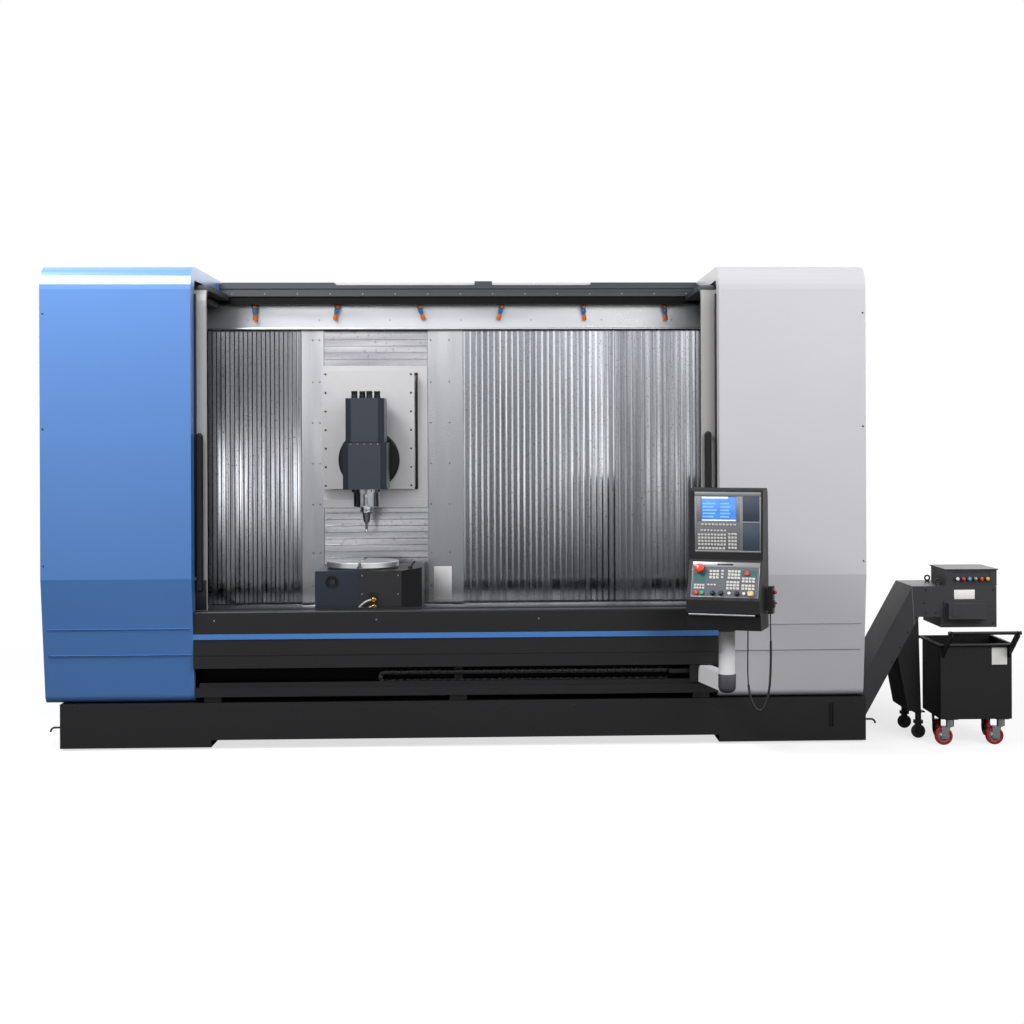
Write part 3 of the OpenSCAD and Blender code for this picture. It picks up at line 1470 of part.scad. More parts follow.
// Open bin with a rim tube, a raised push handle, castor plates and rear forks
module bin_body() {
    t = bin_t;
    z1 = bin_z + bin_h;
    rd = bin_rim_d;
    bar_d = 24;
    bar_y = bin_y0 - 200;
    bar_z = z1 + 98;
    fin_t = 8;
    fin_drop = 100;
    color(anthracite) {
        difference() {
            span([bin_x, bin_y0, bin_z], [bin_x1, bin_y1, z1]);
            span([bin_x + t, bin_y0 + t, bin_z + t], [bin_x1 - t, bin_y1 - t, z1 + 1]);
            for (x = castor_at) rod_z(x, castor_front_y, bin_z - 1, bin_z + t - 1, 21);
        }
        for (y = [bin_y0 - rd / 2, bin_y1 + rd / 2]) rod_x(bin_x - rd, bin_x1 + rd, y, z1 - rd / 2, rd);
        for (x = [bin_x - rd / 2, bin_x1 + rd / 2])
            rod_y(x, bin_y0 - rd / 2, bin_y1 + rd / 2, z1 - rd / 2, rd);
        for (x = [bin_x + 14, bin_x1 - 14 - fin_t]) along_x(x, x + fin_t)
            polygon([[bin_y0, z1 - rd], [bin_y0, z1 - fin_drop], [bar_y - bar_d, bar_z - bar_d],
                [bar_y - bar_d, bar_z + bar_d / 2], [bar_y + bar_d, bar_z + bar_d / 2]]);
        rod_x(bin_x, bin_x1, bar_y, bar_z, bar_d);
        for (x = castor_at) difference() {
            span([x - 46, castor_front_y - 46, bin_z - castor_plate_t], [x + 46, castor_front_y + 46, bin_z]);
            rod_z(x, castor_front_y, bin_z - castor_plate_t - 1, bin_z + 1, 20 + 2 * running);
        }
    }
    color(steel) for (x = castor_at) {
        span([x - 46, castor_rear_y - 46, bin_z - castor_plate_t], [x + 46, castor_rear_y + 46, bin_z]);
        translate([x, castor_rear_y, wheel_z]) rotate([0, 0, 90])
            castor_cheeks(bin_z - castor_plate_t - wheel_z);
    }
}

machine_bed();
levelling_pads();
x_rails();
x_screw();
work_table();
chip_guard();
rotary_housing();
rotary_disc();
rotary_fittings();
left_cover();
right_cover();
left_side_panel();
right_side_panel();
front_apron();
door_track();
pendant_rail();
cable_chain();
roof_beam();
header_panel();
coolant_nozzles();
rear_enclosure();
x_bellows();
conveyor_housing();
conveyor_belt();
conveyor_gear_cover();
conveyor_control_box();
conveyor_stand();
stand_wheels();
column_frame();
column_casting();
z_bellows();
saddle();
ram();
swivel_disc();
head_housing();
spindle_nose();
spindle_shaft();
cutting_tool();
left_door();
left_door_window();
left_door_handle();
left_inner_door();
right_door();
right_door_window();
right_door_handle();
right_inner_door();
pendant_arm();
pendant_case();
screen_unit();
operation_panel();
emergency_stop();
feed_knob();
hand_unit();
pendant_cord();
bin_body();
bin_left_fork();
bin_right_fork();
bin_left_wheel();
bin_right_wheel();
bin_rear_wheels();
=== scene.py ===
"""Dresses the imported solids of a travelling-column machining centre for a studio photograph.

Every length is in metres in the part's own frame: +X to the operator's right, +Y to the rear and
+Z up, with the origin on the floor under the middle of the enclosure.
"""
import logging
import math
from dataclasses import dataclass, field
from enum import Enum
from typing import Iterable, Optional, Sequence

import bmesh
import bpy
from mathutils import Matrix, Vector


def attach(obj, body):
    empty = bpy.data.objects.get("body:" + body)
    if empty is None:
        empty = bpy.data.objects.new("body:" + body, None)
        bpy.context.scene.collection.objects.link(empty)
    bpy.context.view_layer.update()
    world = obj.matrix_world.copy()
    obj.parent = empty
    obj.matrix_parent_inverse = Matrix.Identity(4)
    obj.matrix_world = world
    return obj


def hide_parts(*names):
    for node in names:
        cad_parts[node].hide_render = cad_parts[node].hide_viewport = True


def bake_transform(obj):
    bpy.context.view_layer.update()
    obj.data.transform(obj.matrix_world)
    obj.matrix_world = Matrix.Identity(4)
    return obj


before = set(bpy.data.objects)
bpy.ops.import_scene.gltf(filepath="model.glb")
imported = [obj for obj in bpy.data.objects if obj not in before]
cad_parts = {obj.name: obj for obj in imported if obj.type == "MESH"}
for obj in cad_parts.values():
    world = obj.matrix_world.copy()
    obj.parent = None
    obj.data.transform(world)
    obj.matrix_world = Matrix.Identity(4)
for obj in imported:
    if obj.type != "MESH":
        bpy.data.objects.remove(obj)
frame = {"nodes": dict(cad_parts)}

LOG = logging.getLogger("machining_centre")
Point = tuple[float, float, float]
Pair = tuple[float, float]
Profile = tuple[Pair, ...]
Tree = bpy.types.NodeTree
Socket = bpy.types.NodeSocket
Object = bpy.types.Object

FRONT = -1.650  # plane of the covers' front faces
OUT = (0.0, -1.0, 0.0)  # direction towards the operator
WHITE = (1.0, 1.0, 1.0, 1.0)
CREASE = 35.0  # angle in degrees from which an edge of a piece stays sharp
SLAT_CREASE = 7.0  # the same for slats, whose folds are shallow
BREAK_ANGLE = 40.0  # angle in degrees from which an edge of a solid is broken
TIP = 1e-6  # a turned form's radius below which it ends in a point
GRAIN_HEIGHT = 0.001  # height of a finish's grain at full depth
# Radius and height of a socket screw's head, as shares of its radius
SCREW_HEAD = ((1.0, 0.0), (1.0, 0.35), (0.85, 0.5), (0.45, 0.5), (0.4, 0.2), (0.0, 0.2))


class Axis(Enum):
    """Direction in which a finish runs or changes."""

    X = 0
    Y = 1
    Z = 2


def linear(code: str) -> tuple[float, float, float, float]:
    """Turns an sRGB hex value into linear colour.

    Args:
        code: six hex digits with a leading hash.

    Returns:
        Linear red, green and blue with full opacity.
    """
    parts = [int(code[i:i + 2], 16) / 255.0 for i in (1, 3, 5)]
    red, green, blue = [c / 12.92 if c <= 0.04045 else ((c + 0.055) / 1.055) ** 2.4 for c in parts]
    return red, green, blue, 1.0


def add(tree: Tree, kind: str, settings: Optional[dict] = None, values: Optional[dict] = None,
        links: Optional[dict] = None) -> bpy.types.Node:
    """Adds one shader node with its settings, socket values and incoming links.

    Args:
        tree: node tree that receives the node.
        kind: Blender's type name of the node, after "ShaderNode".
        settings: attributes of the node itself.
        values: input sockets and the constants set on them.
        links: input sockets and the output sockets that feed them.

    Returns:
        The new node.
    """
    made = tree.nodes.new("ShaderNode" + kind)
    for key, value in (settings or {}).items():
        setattr(made, key, value)
    for key, value in (values or {}).items():
        made.inputs[key].default_value = value
    for key, source in (links or {}).items():
        tree.links.new(source, made.inputs[key])
    return made


@dataclass(frozen=True)
class Material:
    """A real material: its nodes are drawn once, under its own name."""

    name: str

    def build(self) -> bpy.types.Material:
        """Finds the material, or makes it and draws its nodes.

        Returns:
            The material.
        """
        found = bpy.data.materials.get(self.name)
        if found:
            return found
        material = bpy.data.materials.new(self.name)
        material.use_nodes = True
        tree = material.node_tree
        tree.nodes.clear()
        place = add(tree, "TexCoord").outputs["Object"]
        shader = self.surface(tree, place)
        add(tree, "OutputMaterial", {}, {}, {"Surface": shader.outputs["BSDF"]})
        return material

    def surface(self, tree: Tree, place: Socket) -> bpy.types.Node:
        """Draws the shader on the object's coordinates; every kind of material has its own."""
        raise NotImplementedError


@dataclass(frozen=True)
class Finish(Material):
    """A material with the way its surface was made.

    The colour drifts between two values over patches of a stated size, the roughness follows it,
    and a fine grain gives the bump.
    """

    colour: str
    shade: str
    rough: float
    metal: float = 0.0
    ior: float = 1.5
    patch_mm: float = 400.0
    grain_mm: float = 6.0
    grain_depth: float = 0.08
    rough_swing: float = 0.06
    coat: float = 0.0

    def pattern(self, tree: Tree, place: Socket) -> Socket:
        """Returns the factor that drives the drift between colour and shade."""
        values = {"Scale": 1000.0 / self.patch_mm, "Detail": 3.0}
        return add(tree, "TexNoise", {}, values, {"Vector": place}).outputs["Fac"]

    def grain(self, tree: Tree, place: Socket) -> Socket:
        """Returns the height of the fine grain."""
        values = {"Scale": 1000.0 / self.grain_mm, "Detail": 2.0}
        return add(tree, "TexNoise", {}, values, {"Vector": place}).outputs["Fac"]

    def tint(self, tree: Tree, place: Socket, factor: Socket) -> Socket:
        """Returns the colour over the surface."""
        ends = {6: linear(self.colour), 7: linear(self.shade)}
        return add(tree, "Mix", {"data_type": "RGBA"}, ends, {0: factor}).outputs[2]

    def surface(self, tree: Tree, place: Socket) -> bpy.types.Node:
        """Draws colour, roughness and bump into one shader.

        Args:
            tree: node tree of the material.
            place: coordinates on the object.

        Returns:
            The shader.
        """
        factor = self.pattern(tree, place)
        rough = add(tree, "MapRange", {},
                    {"To Min": max(self.rough - self.rough_swing, 0.02),
                     "To Max": self.rough + self.rough_swing}, {"Value": factor})
        bump = add(tree, "Bump", {}, {"Strength": self.grain_depth, "Distance": GRAIN_HEIGHT},
                   {"Height": self.grain(tree, place)})
        return add(tree, "BsdfPrincipled", {},
                   {"Metallic": self.metal, "IOR": self.ior, "Coat Weight": self.coat,
                    "Coat Roughness": 0.3},
                   {"Base Color": self.tint(tree, place, factor),
                    "Roughness": rough.outputs["Result"], "Normal": bump.outputs["Normal"]})


@dataclass(frozen=True)
class Brushed(Finish):
    """Sheet or bar brushed in one direction: fine streaks along it, and slow bands across it."""

    along: Axis = Axis.Z
    streak_mm: float = 5.0
    length_mm: float = 900.0
    detail: float = 5.0

    def drawn(self, tree: Tree, place: Socket, width_mm: float) -> Socket:
        """Draws coordinates out along the brushing.

        Args:
            tree: node tree of the material.
            place: coordinates on the object.
            width_mm: size of the pattern across the brushing.

        Returns:
            The socket with the coordinates.
        """
        scale = [1000.0 / width_mm] * 3
        scale[self.along.value] = 1000.0 / self.length_mm
        return add(tree, "Mapping", {}, {"Scale": scale}, {"Vector": place}).outputs["Vector"]

    def pattern(self, tree: Tree, place: Socket) -> Socket:
        """Draws slow bands that run along the brushing.

        Args:
            tree: node tree of the material.
            place: coordinates on the object.

        Returns:
            The factor between colour and shade.
        """
        bands = add(tree, "TexNoise", {},
                    {"Scale": 1.0, "Detail": self.detail, "Roughness": 0.65},
                    {"Vector": self.drawn(tree, place, self.patch_mm)})
        spread = add(tree, "MapRange", {}, {"From Min": 0.3, "From Max": 0.7},
                     {"Value": bands.outputs["Fac"]})
        return spread.outputs["Result"]

    def grain(self, tree: Tree, place: Socket) -> Socket:
        """Returns the height of the brush's fine streaks."""
        links = {"Vector": self.drawn(tree, place, self.streak_mm)}
        return add(tree, "TexNoise", {}, {"Scale": 1.0, "Detail": 3.0}, links).outputs["Fac"]


@dataclass(frozen=True)
class TwoTone(Finish):
    """Paint that changes to a second colour at a plane across one axis."""

    other: str = "#000000"
    across: Axis = Axis.Z
    at: float = 0.0
    soft: float = 0.001

    def tint(self, tree: Tree, place: Socket, factor: Socket) -> Socket:
        """Draws the first colour above the plane and the second below it.

        Args:
            tree: node tree of the material.
            place: coordinates on the object.
            factor: share of the first colour's shade.

        Returns:
            The socket with the colour.
        """
        first = Finish.tint(self, tree, place, factor)
        parts = add(tree, "SeparateXYZ", {}, {}, {"Vector": place})
        side = add(tree, "MapRange", {},
                   {"From Min": self.at - self.soft, "From Max": self.at + self.soft},
                   {"Value": parts.outputs[self.across.value]})
        return add(tree, "Mix", {"data_type": "RGBA"}, {6: linear(self.other)},
                   {0: side.outputs["Result"], 7: first}).outputs[2]


@dataclass(frozen=True)
class Lined(Finish):
    """Paint on a sheet panel's outside, with primer on the faces that look into the machine."""

    lining: str = "#8d8f93"
    inward: Axis = Axis.Y

    def tint(self, tree: Tree, place: Socket, factor: Socket) -> Socket:
        """Draws the primer where a face's normal points inward, and the paint elsewhere.

        Args:
            tree: node tree of the material.
            place: coordinates on the object.
            factor: share of the paint's shade.

        Returns:
            The socket with the colour.
        """
        paint = Finish.tint(self, tree, place, factor)
        normal = add(tree, "TexCoord").outputs["Normal"]
        parts = add(tree, "SeparateXYZ", {}, {}, {"Vector": normal})
        side = add(tree, "MapRange", {}, {"From Min": 0.5, "From Max": 0.6},
                   {"Value": parts.outputs[self.inward.value]})
        return add(tree, "Mix", {"data_type": "RGBA"}, {7: linear(self.lining)},
                   {0: side.outputs["Result"], 6: paint}).outputs[2]


@dataclass(frozen=True)
class SlatSteel(Brushed):
    """Brushed slats marked by chips and coolant: dark flecks on the bright steel."""

    fleck: str = "#3c3c40"
    fleck_mm: float = 13.0

    def tint(self, tree: Tree, place: Socket, factor: Socket) -> Socket:
        """Draws the brushed colour with its flecks.

        Args:
            tree: node tree of the material.
            place: coordinates on the object.
            factor: share of the steel's shade.

        Returns:
            The socket with the colour.
        """
        bright = Finish.tint(self, tree, place, factor)
        spots = add(tree, "TexNoise", {}, {"Scale": 1000.0 / self.fleck_mm, "Detail": 2.0},
                    {"Vector": place})
        mark = add(tree, "MapRange", {}, {"From Min": 0.60, "From Max": 0.72, "To Max": 0.65},
                   {"Value": spots.outputs["Fac"]})
        return add(tree, "Mix", {"data_type": "RGBA"}, {7: linear(self.fleck)},
                   {0: mark.outputs["Result"], 6: bright}).outputs[2]


@dataclass(frozen=True)
class Glow(Material):
    """A lit display: an almost even colour that gives off its own light."""

    colour: str
    strength: float

    def surface(self, tree: Tree, place: Socket) -> bpy.types.Node:
        """Draws a shader that shines unevenly.

        Args:
            tree: node tree of the material.
            place: coordinates on the object.

        Returns:
            The shader.
        """
        cloud = add(tree, "TexNoise", {}, {"Scale": 14.0, "Detail": 1.0}, {"Vector": place})
        light = linear(self.colour)
        bright = tuple(min(1.0, c * 1.5 + 0.03) for c in light[:3]) + (1.0,)
        shine = add(tree, "Mix", {"data_type": "RGBA"}, {6: light, 7: bright},
                    {0: cloud.outputs["Fac"]}).outputs[2]
        return add(tree, "BsdfPrincipled", {},
                   {"Roughness": 0.15, "Emission Strength": self.strength},
                   {"Base Color": shine, "Emission Color": shine})


@dataclass(frozen=True)
class Pane(Material):
    """Laminated safety glass."""

    tint: str

    def surface(self, tree: Tree, place: Socket) -> bpy.types.Node:
        """Draws clear glass with faint wipe marks.

        Args:
            tree: node tree of the material.
            place: coordinates on the object.

        Returns:
            The shader.
        """
        wipes = add(tree, "TexNoise", {}, {"Scale": 6.0, "Detail": 4.0}, {"Vector": place})
        rough = add(tree, "MapRange", {}, {"To Min": 0.02, "To Max": 0.08},
                    {"Value": wipes.outputs["Fac"]})
        return add(tree, "BsdfPrincipled", {},
                   {"Base Color": linear(self.tint), "Transmission Weight": 0.9, "IOR": 1.5},
                   {"Roughness": rough.outputs["Result"]})


class Shop:
    """Every finish on the machine, each under what it gives the eye.

    Orange peel, moulded grain and brush marks are finer than a pixel on the real machine, so they
    are drawn as coarse as they need to show.
    """

    # Powder-coated sheet steel: a strong blue with a soft clear sheen over faint orange peel
    blue = Lined("powder_coat_blue", "#4673b0", "#406da9", 0.34, ior=1.6, patch_mm=900, grain_mm=7,
                 coat=0.6)
    # The same on the side panel, whose inside looks to +X
    blue_side = Lined("powder_coat_blue_side", "#4673b0", "#406da9", 0.34, ior=1.6, patch_mm=900,
                      grain_mm=7, coat=0.6, inward=Axis.X)
    # Powder-coated sheet steel: even light grey, satin
    grey = Finish("powder_coat_light_grey", "#bab9bd", "#b3b2b6", 0.38, patch_mm=900, grain_mm=7)
    # Door sheet: mid grey on the stile's front, almost black behind it
    stile = TwoTone("powder_coat_mid_grey", "#1d1d1f", "#19191b", 0.4, patch_mm=700, grain_mm=7,
                    other="#a3a2a1", across=Axis.Y, at=FRONT + 0.203)
    # Folded lips: matt, and painted a shade darker than the covers they close, as painted shade for
    # the shadow they lie in
    seam_blue_painted_shade = Finish("powder_coat_painted_shade_blue", "#33609c", "#2f5a94", 0.7, ior=1.2, patch_mm=700)
    seam_grey_painted_shade = Finish("powder_coat_painted_shade_grey", "#8f8e92", "#88878b", 0.4, patch_mm=700)
    # Textured structure paint: dark, with a broken soft highlight
    anthracite = Finish("structure_paint_anthracite", "#161618", "#121214", 0.46, ior=1.42,
                        patch_mm=600, grain_mm=5, grain_depth=0.15)
    black = Finish("structure_paint_black", "#101012", "#0d0d0e", 0.44, ior=1.42, patch_mm=300,
                   grain_mm=4, grain_depth=0.16)
    charcoal = Finish("structure_paint_charcoal", "#343436", "#2e2e30", 0.44, ior=1.42,
                      patch_mm=300, grain_mm=4, grain_depth=0.16)
    # Smooth powder coat: one clear line of blue on the dark apron
    stripe = Finish("powder_coat_stripe_blue", "#4677b8", "#4070b0", 0.4, patch_mm=900)
    # Anodised aluminium profile: grey metallic band over an almost black one
    beam = TwoTone("anodised_profile_grey", "#53555a", "#47494d", 0.36, metal=0.7, patch_mm=500,
                   grain_mm=3, other="#0c0c0d", at=3.272)
    # Sprayed enamel on castings: bluish slate, smooth, with clear highlights on its edges
    slate = Finish("enamel_slate", "#2d323b", "#282c35", 0.36, patch_mm=250, grain_mm=4,
                   grain_depth=0.1)
    # The same in two colours: navy on the left of the housing and charcoal on the right
    housing = TwoTone("enamel_navy_and_charcoal", "#1b1b1e", "#17171a", 0.4, patch_mm=250,
                      grain_mm=4, grain_depth=0.12, other="#151d29", across=Axis.X, at=-0.7232)
    # Powder-coated tube: pale post on a dark foot
    post = TwoTone("powder_coat_post", "#1d1d1f", "#18181a", 0.4, patch_mm=300, other="#d6d5d7",
                   across=Axis.Y, at=FRONT + 0.090)
    # Painted weld: a thin glossy bead that catches the light
    weld = Finish("painted_weld", "#6f6f72", "#5c5c5f", 0.3, patch_mm=12)

    # Stainless sheet brushed upright: streaks draw the room's reflections into long bands
    wall = SlatSteel("stainless_brushed_upright", "#c2c5ca", "#7e8187", 0.13, metal=1.0,
                     patch_mm=38, grain_depth=0.05, length_mm=2600)
    # The same, finer and cleaner: broad soft reflections on the column's front
    frame = Brushed("stainless_brushed_frame", "#d9dade", "#c6c8cd", 0.20, metal=1.0, patch_mm=160,
                    grain_depth=0.015, rough_swing=0.02, detail=1.0)
    # Brushed across: a bright level band under the roof beam
    header = Brushed("stainless_brushed_across", "#e6e8ec", "#d6d9de", 0.32, metal=1.0,
                     patch_mm=220, grain_depth=0.05, along=Axis.X, detail=2.0)
    # Rolled stainless pan: dull bright steel, with the black front edge of its sill
    pan = TwoTone("stainless_pan", "#c4c6ca", "#a4a6aa", 0.34, metal=1.0, patch_mm=200, grain_mm=4,
                  other="#101012", across=Axis.Y, at=FRONT + 0.2965)
    # Level slats, brushed across: greyer steel with faint chip marks
    cover = SlatSteel("stainless_brushed_slat", "#bbbbbf", "#a0a0a5", 0.2, metal=1.0, patch_mm=90,
                      grain_depth=0.02, rough_swing=0.03, along=Axis.X, detail=1.0,
                      fleck="#8d8d92", fleck_mm=24.0)
    # Bead-blasted steel: pale and matt, with no clear reflection
    plate = Finish("bead_blasted_steel", "#cbcacc", "#bcbbbd", 0.46, metal=0.9, patch_mm=260,
                   grain_mm=3, grain_depth=0.1)
    # Ground steel: short streaks across, bright
    ground = Brushed("ground_steel", "#c9cacd", "#96989c", 0.22, metal=1.0, patch_mm=40,
                     grain_depth=0.06, along=Axis.X, length_mm=300)
    # Turned steel: fine rings and sharp highlights
    turned = Brushed("turned_steel", "#d5d5d8", "#a2a3a7", 0.16, metal=1.0, patch_mm=20,
                     grain_depth=0.05, along=Axis.X, streak_mm=2, length_mm=60)
    # Ground nose steel: darker and smooth
    nose = Finish("ground_nose_steel", "#a4a6ab", "#7d7f85", 0.18, metal=1.0, patch_mm=60)
    # Machined cast iron: grey and dull, with an open grain
    iron = Finish("machined_cast_iron", "#6c6e70", "#5a5c5e", 0.4, metal=0.8, patch_mm=120,
                  grain_mm=3, grain_depth=0.14)
    # Zinc-plated and blackened screws: small bright or dark dots
    screw = Finish("zinc_plated_screw", "#b9bbbe", "#8f9194", 0.3, metal=1.0, patch_mm=8)
    dark_screw = Finish("blackened_screw", "#2b2b2d", "#212123", 0.45, metal=0.6, patch_mm=8)
    # Turned brass: a warm glint at the fittings
    brass = Finish("turned_brass", "#c7a24a", "#a9863a", 0.28, metal=1.0, patch_mm=20)
    # Zinc-plated sheet: cloudy bright forks and wheel centres
    fork = Finish("zinc_plated_sheet", "#b4b5b8", "#9a9b9f", 0.35, metal=1.0, patch_mm=30)

    # Moulded plastics: a fine spark-eroded grain breaks the highlight
    cap = Finish("moulded_cap_grey", "#3e3e42", "#37373b", 0.42, patch_mm=120, grain_mm=3,
                 grain_depth=0.12)
    plastic = Finish("moulded_black_plastic", "#161618", "#111113", 0.42, patch_mm=60,
                     grain_mm=2.5, grain_depth=0.12)
    cream = Finish("moulded_cream", "#d8c79a", "#c9b88b", 0.4, patch_mm=20)
    orange = Finish("moulded_orange", "#e2701f", "#d26114", 0.4, patch_mm=20)
    joint_blue = Finish("moulded_joint_blue", "#3f78a8", "#376c99", 0.4, patch_mm=20)
    # Silver-painted plastic: half metallic frames round screen and panel
    bezel = Finish("bezel_silver", "#8b8c90", "#818286", 0.34, metal=0.5, patch_mm=160, grain_mm=3)
    # Printed polyester membrane: matt, with a fine tooth
    field = Finish("panel_membrane", "#50545c", "#494d55", 0.5, patch_mm=120, grain_mm=3,
                   grain_depth=0.1)
    keyboard = Finish("panel_membrane_grey", "#66666a", "#5e5e62", 0.5, patch_mm=120, grain_mm=3,
                      grain_depth=0.1)
    teal = Finish("membrane_teal", "#1b5552", "#174c49", 0.5, patch_mm=60)
    # Painted blank plates: smooth slate blue
    blank = Finish("blank_plate_slate", "#38424f", "#323c49", 0.36, patch_mm=120, grain_mm=3)
    # Moulded key caps: pale and satin
    key = Finish("key_cap_light", "#c3c2be", "#b4b3af", 0.4, patch_mm=12)
    # Moulded buttons: clear colours under a glossy skin
    red = Finish("button_red", "#d8261c", "#c41d15", 0.25, patch_mm=15, coat=0.4)
    stop = Finish("stop_button_red_orange", "#d8421c", "#c73612", 0.25, patch_mm=30, coat=0.4)
    green = Finish("button_green", "#2f9d6c", "#278a5e", 0.28, patch_mm=15, coat=0.3)
    yellow = Finish("button_yellow", "#e8b02c", "#d79f20", 0.28, patch_mm=15, coat=0.3)
    sky = Finish("button_blue", "#4f9fc4", "#4390b5", 0.28, patch_mm=15, coat=0.3)
    white = Finish("button_white", "#d8d8d6", "#cccccb", 0.3, patch_mm=15, coat=0.3)
    # Extruded polyamide hose: pale and a little glossy
    hose = Finish("polyamide_hose_pale", "#9c9d97", "#8a8b85", 0.3, patch_mm=25)
    # Cast polyurethane tread: deep red and satin
    tread = Finish("polyurethane_red", "#a01c26", "#8c151e", 0.42, patch_mm=30, grain_mm=2,
                   grain_depth=0.1)
    # Rubber and soft cable sheath: black and dull
    rubber = Finish("rubber_black", "#161617", "#111112", 0.55, patch_mm=30, grain_mm=2,
                    grain_depth=0.12)
    cable = Finish("pvc_cable_black", "#1b1b1d", "#151517", 0.45, patch_mm=30, grain_mm=2)
    # Bare plate of painted sheet: plain off-white
    label = Finish("bare_label_plate", "#e6e5e3", "#dedddb", 0.5, patch_mm=60)
    # Laminated safety glass: clear, with faint wipe marks in its gloss
    glass = Pane("safety_glass", "#dfe9ea")
    # Backlit display: a blue ground with pale fields and light bars
    display = Glow("display_blue", "#3f74bd", 0.35)
    display_white = Glow("display_white", "#dfe5df", 0.45)
    display_pale = Glow("display_pale", "#6d9bd6", 0.35)


def facing(at: Point, towards: Point) -> Matrix:
    """Returns the transform that puts local Z at a point along a direction."""
    return Matrix.Translation(at) @ Vector(towards).to_track_quat("Z", "Y").to_matrix().to_4x4()


@dataclass
class Piece:
    """One piece of the scene: forms are added to its empty mesh until it is done."""

    name: str
    bm: bmesh.types.BMesh = field(default_factory=bmesh.new)

    def block(self, low: Point, high: Point, round_by: float = 0.0,
              place: Optional[Matrix] = None) -> None:
        """Adds a box with rounded edges.

        Args:
            low: lowest corner.
            high: highest corner.
            round_by: radius of the edges.
            place: transform of the finished box.
        """
        made = bmesh.ops.create_cube(self.bm, size=1.0)["verts"]
        size = [high[i] - low[i] for i in range(3)]
        for vert in made:
            vert.co = Vector([low[i] + (vert.co[i] + 0.5) * size[i] for i in range(3)])
        if round_by > 0.0:
            edges = list({e for v in made for e in v.link_edges})
            made = bmesh.ops.bevel(self.bm, geom=edges, offset=round_by, segments=2, profile=0.5,
                                   affect="EDGES", clamp_overlap=True)["verts"]
        if place is not None:
            bmesh.ops.transform(self.bm, matrix=place, verts=list(made))

    def turned(self, profile: Sequence[Pair], place: Matrix, sides: int = 32) -> None:
        """Adds a turned form about the local Z axis.

        Args:
            profile: radius and height of each step, from one end to the other.
            place: transform of the finished form.
            sides: number of flats round it.
        """
        turns = [2 * math.pi * k / sides for k in range(sides)]
        rings = []
        for radius, height in profile:
            flat = [(0.0, 0.0)]
            if radius > TIP:
                flat = [(radius * math.cos(a), radius * math.sin(a)) for a in turns]
            rings.append([self.bm.verts.new(place @ Vector((x, y, height))) for x, y in flat])
        for lower, upper in zip(rings, rings[1:]):
            for k in range(sides):
                ring = [lower[k % len(lower)], lower[(k + 1) % len(lower)],
                        upper[(k + 1) % len(upper)], upper[k % len(upper)]]
                ring = [v for i, v in enumerate(ring) if v not in ring[:i]]
                if len(ring) > 2:
                    self.bm.faces.new(ring)
        for ring in (rings[0], rings[-1]):
            if len(ring) > 2:
                self.bm.faces.new(ring)

    def tube(self, path: Sequence[Point], radius: float, sides: int) -> None:
        """Adds a round tube along a path, with closed ends.

        Args:
            path: points of the middle line.
            radius: radius of the tube.
            sides: number of flats round it.
        """
        points = [Vector(p) for p in path]
        turns = [2 * math.pi * k / sides for k in range(sides)]
        rings = []
        side = None
        for i, point in enumerate(points):
            ahead, behind = points[min(i + 1, len(points) - 1)], points[max(i - 1, 0)]
            heading = (ahead - behind).normalized()
            if side is None:
                side = heading.orthogonal().normalized()
            side = (side - heading * side.dot(heading)).normalized()
            other = heading.cross(side)
            rings.append([self.bm.verts.new(point + radius * (math.cos(a) * side
                                                              + math.sin(a) * other))
                          for a in turns])
        for lower, upper in zip(rings, rings[1:]):
            for k in range(sides):
                after = (k + 1) % sides
                self.bm.faces.new([lower[k], lower[after], upper[after], upper[k]])
        self.bm.faces.new(rings[0])
        self.bm.faces.new(rings[-1])

    def prism(self, outline: Sequence[Point], shift: Point) -> None:
        """Adds a prism from a flat outline and the vector it is drawn out along.

        Args:
            outline: corners of the first face in order.
            shift: vector from the first face to the second.
        """
        first = [self.bm.verts.new(p) for p in outline]
        second = [self.bm.verts.new(Vector(p) + Vector(shift)) for p in outline]
        self.bm.faces.new(first)
        self.bm.faces.new(list(reversed(second)))
        for i in range(len(outline)):
            j = (i + 1) % len(outline)
            self.bm.faces.new([first[i], first[j], second[j], second[i]])

    def pierced(self, low: Point, high: Point, hole: Pair, radius: float, place: Matrix) -> None:
        """Adds a flat plate with one round hole.

        Args:
            low: lowest corner.
            high: highest corner.
            hole: middle of the hole on the plate's plane.
            radius: radius of the hole.
            place: transform of the finished plate.
        """
        flats = 24
        corners = [(x - hole[0], y - hole[1]) for x in (low[0], high[0]) for y in (low[1], high[1])]
        angles = sorted([math.atan2(y, x) for x, y in corners]
                        + [2 * math.pi * (k + 0.5) / flats - math.pi for k in range(flats)])
        loops: list[list[bmesh.types.BMVert]] = [[], [], [], []]
        heights = (high[2], high[2], low[2], low[2])
        for angle in angles:
            x, y = math.cos(angle), math.sin(angle)
            far = min(((high[0] if x > 0 else low[0]) - hole[0]) / x,
                      ((high[1] if y > 0 else low[1]) - hole[1]) / y)
            for loop, reach, z in zip(loops, (radius, far, far, radius), heights):
                at = place @ Vector((hole[0] + reach * x, hole[1] + reach * y, z))
                loop.append(self.bm.verts.new(at))
        for first, second in zip(loops, loops[1:] + loops[:1]):
            for k in range(len(angles)):
                self.bm.faces.new([first[k - 1], first[k], second[k], second[k - 1]])

    def screws(self, places: Iterable[Point], towards: Point, radius: float) -> None:
        """Adds socket screws with a recessed drive.

        Args:
            places: points on the surface.
            towards: direction that the heads face.
            radius: radius of a head.
        """
        for at in places:
            self.turned([(r * radius, h * radius) for r, h in SCREW_HEAD], facing(at, towards), 12)

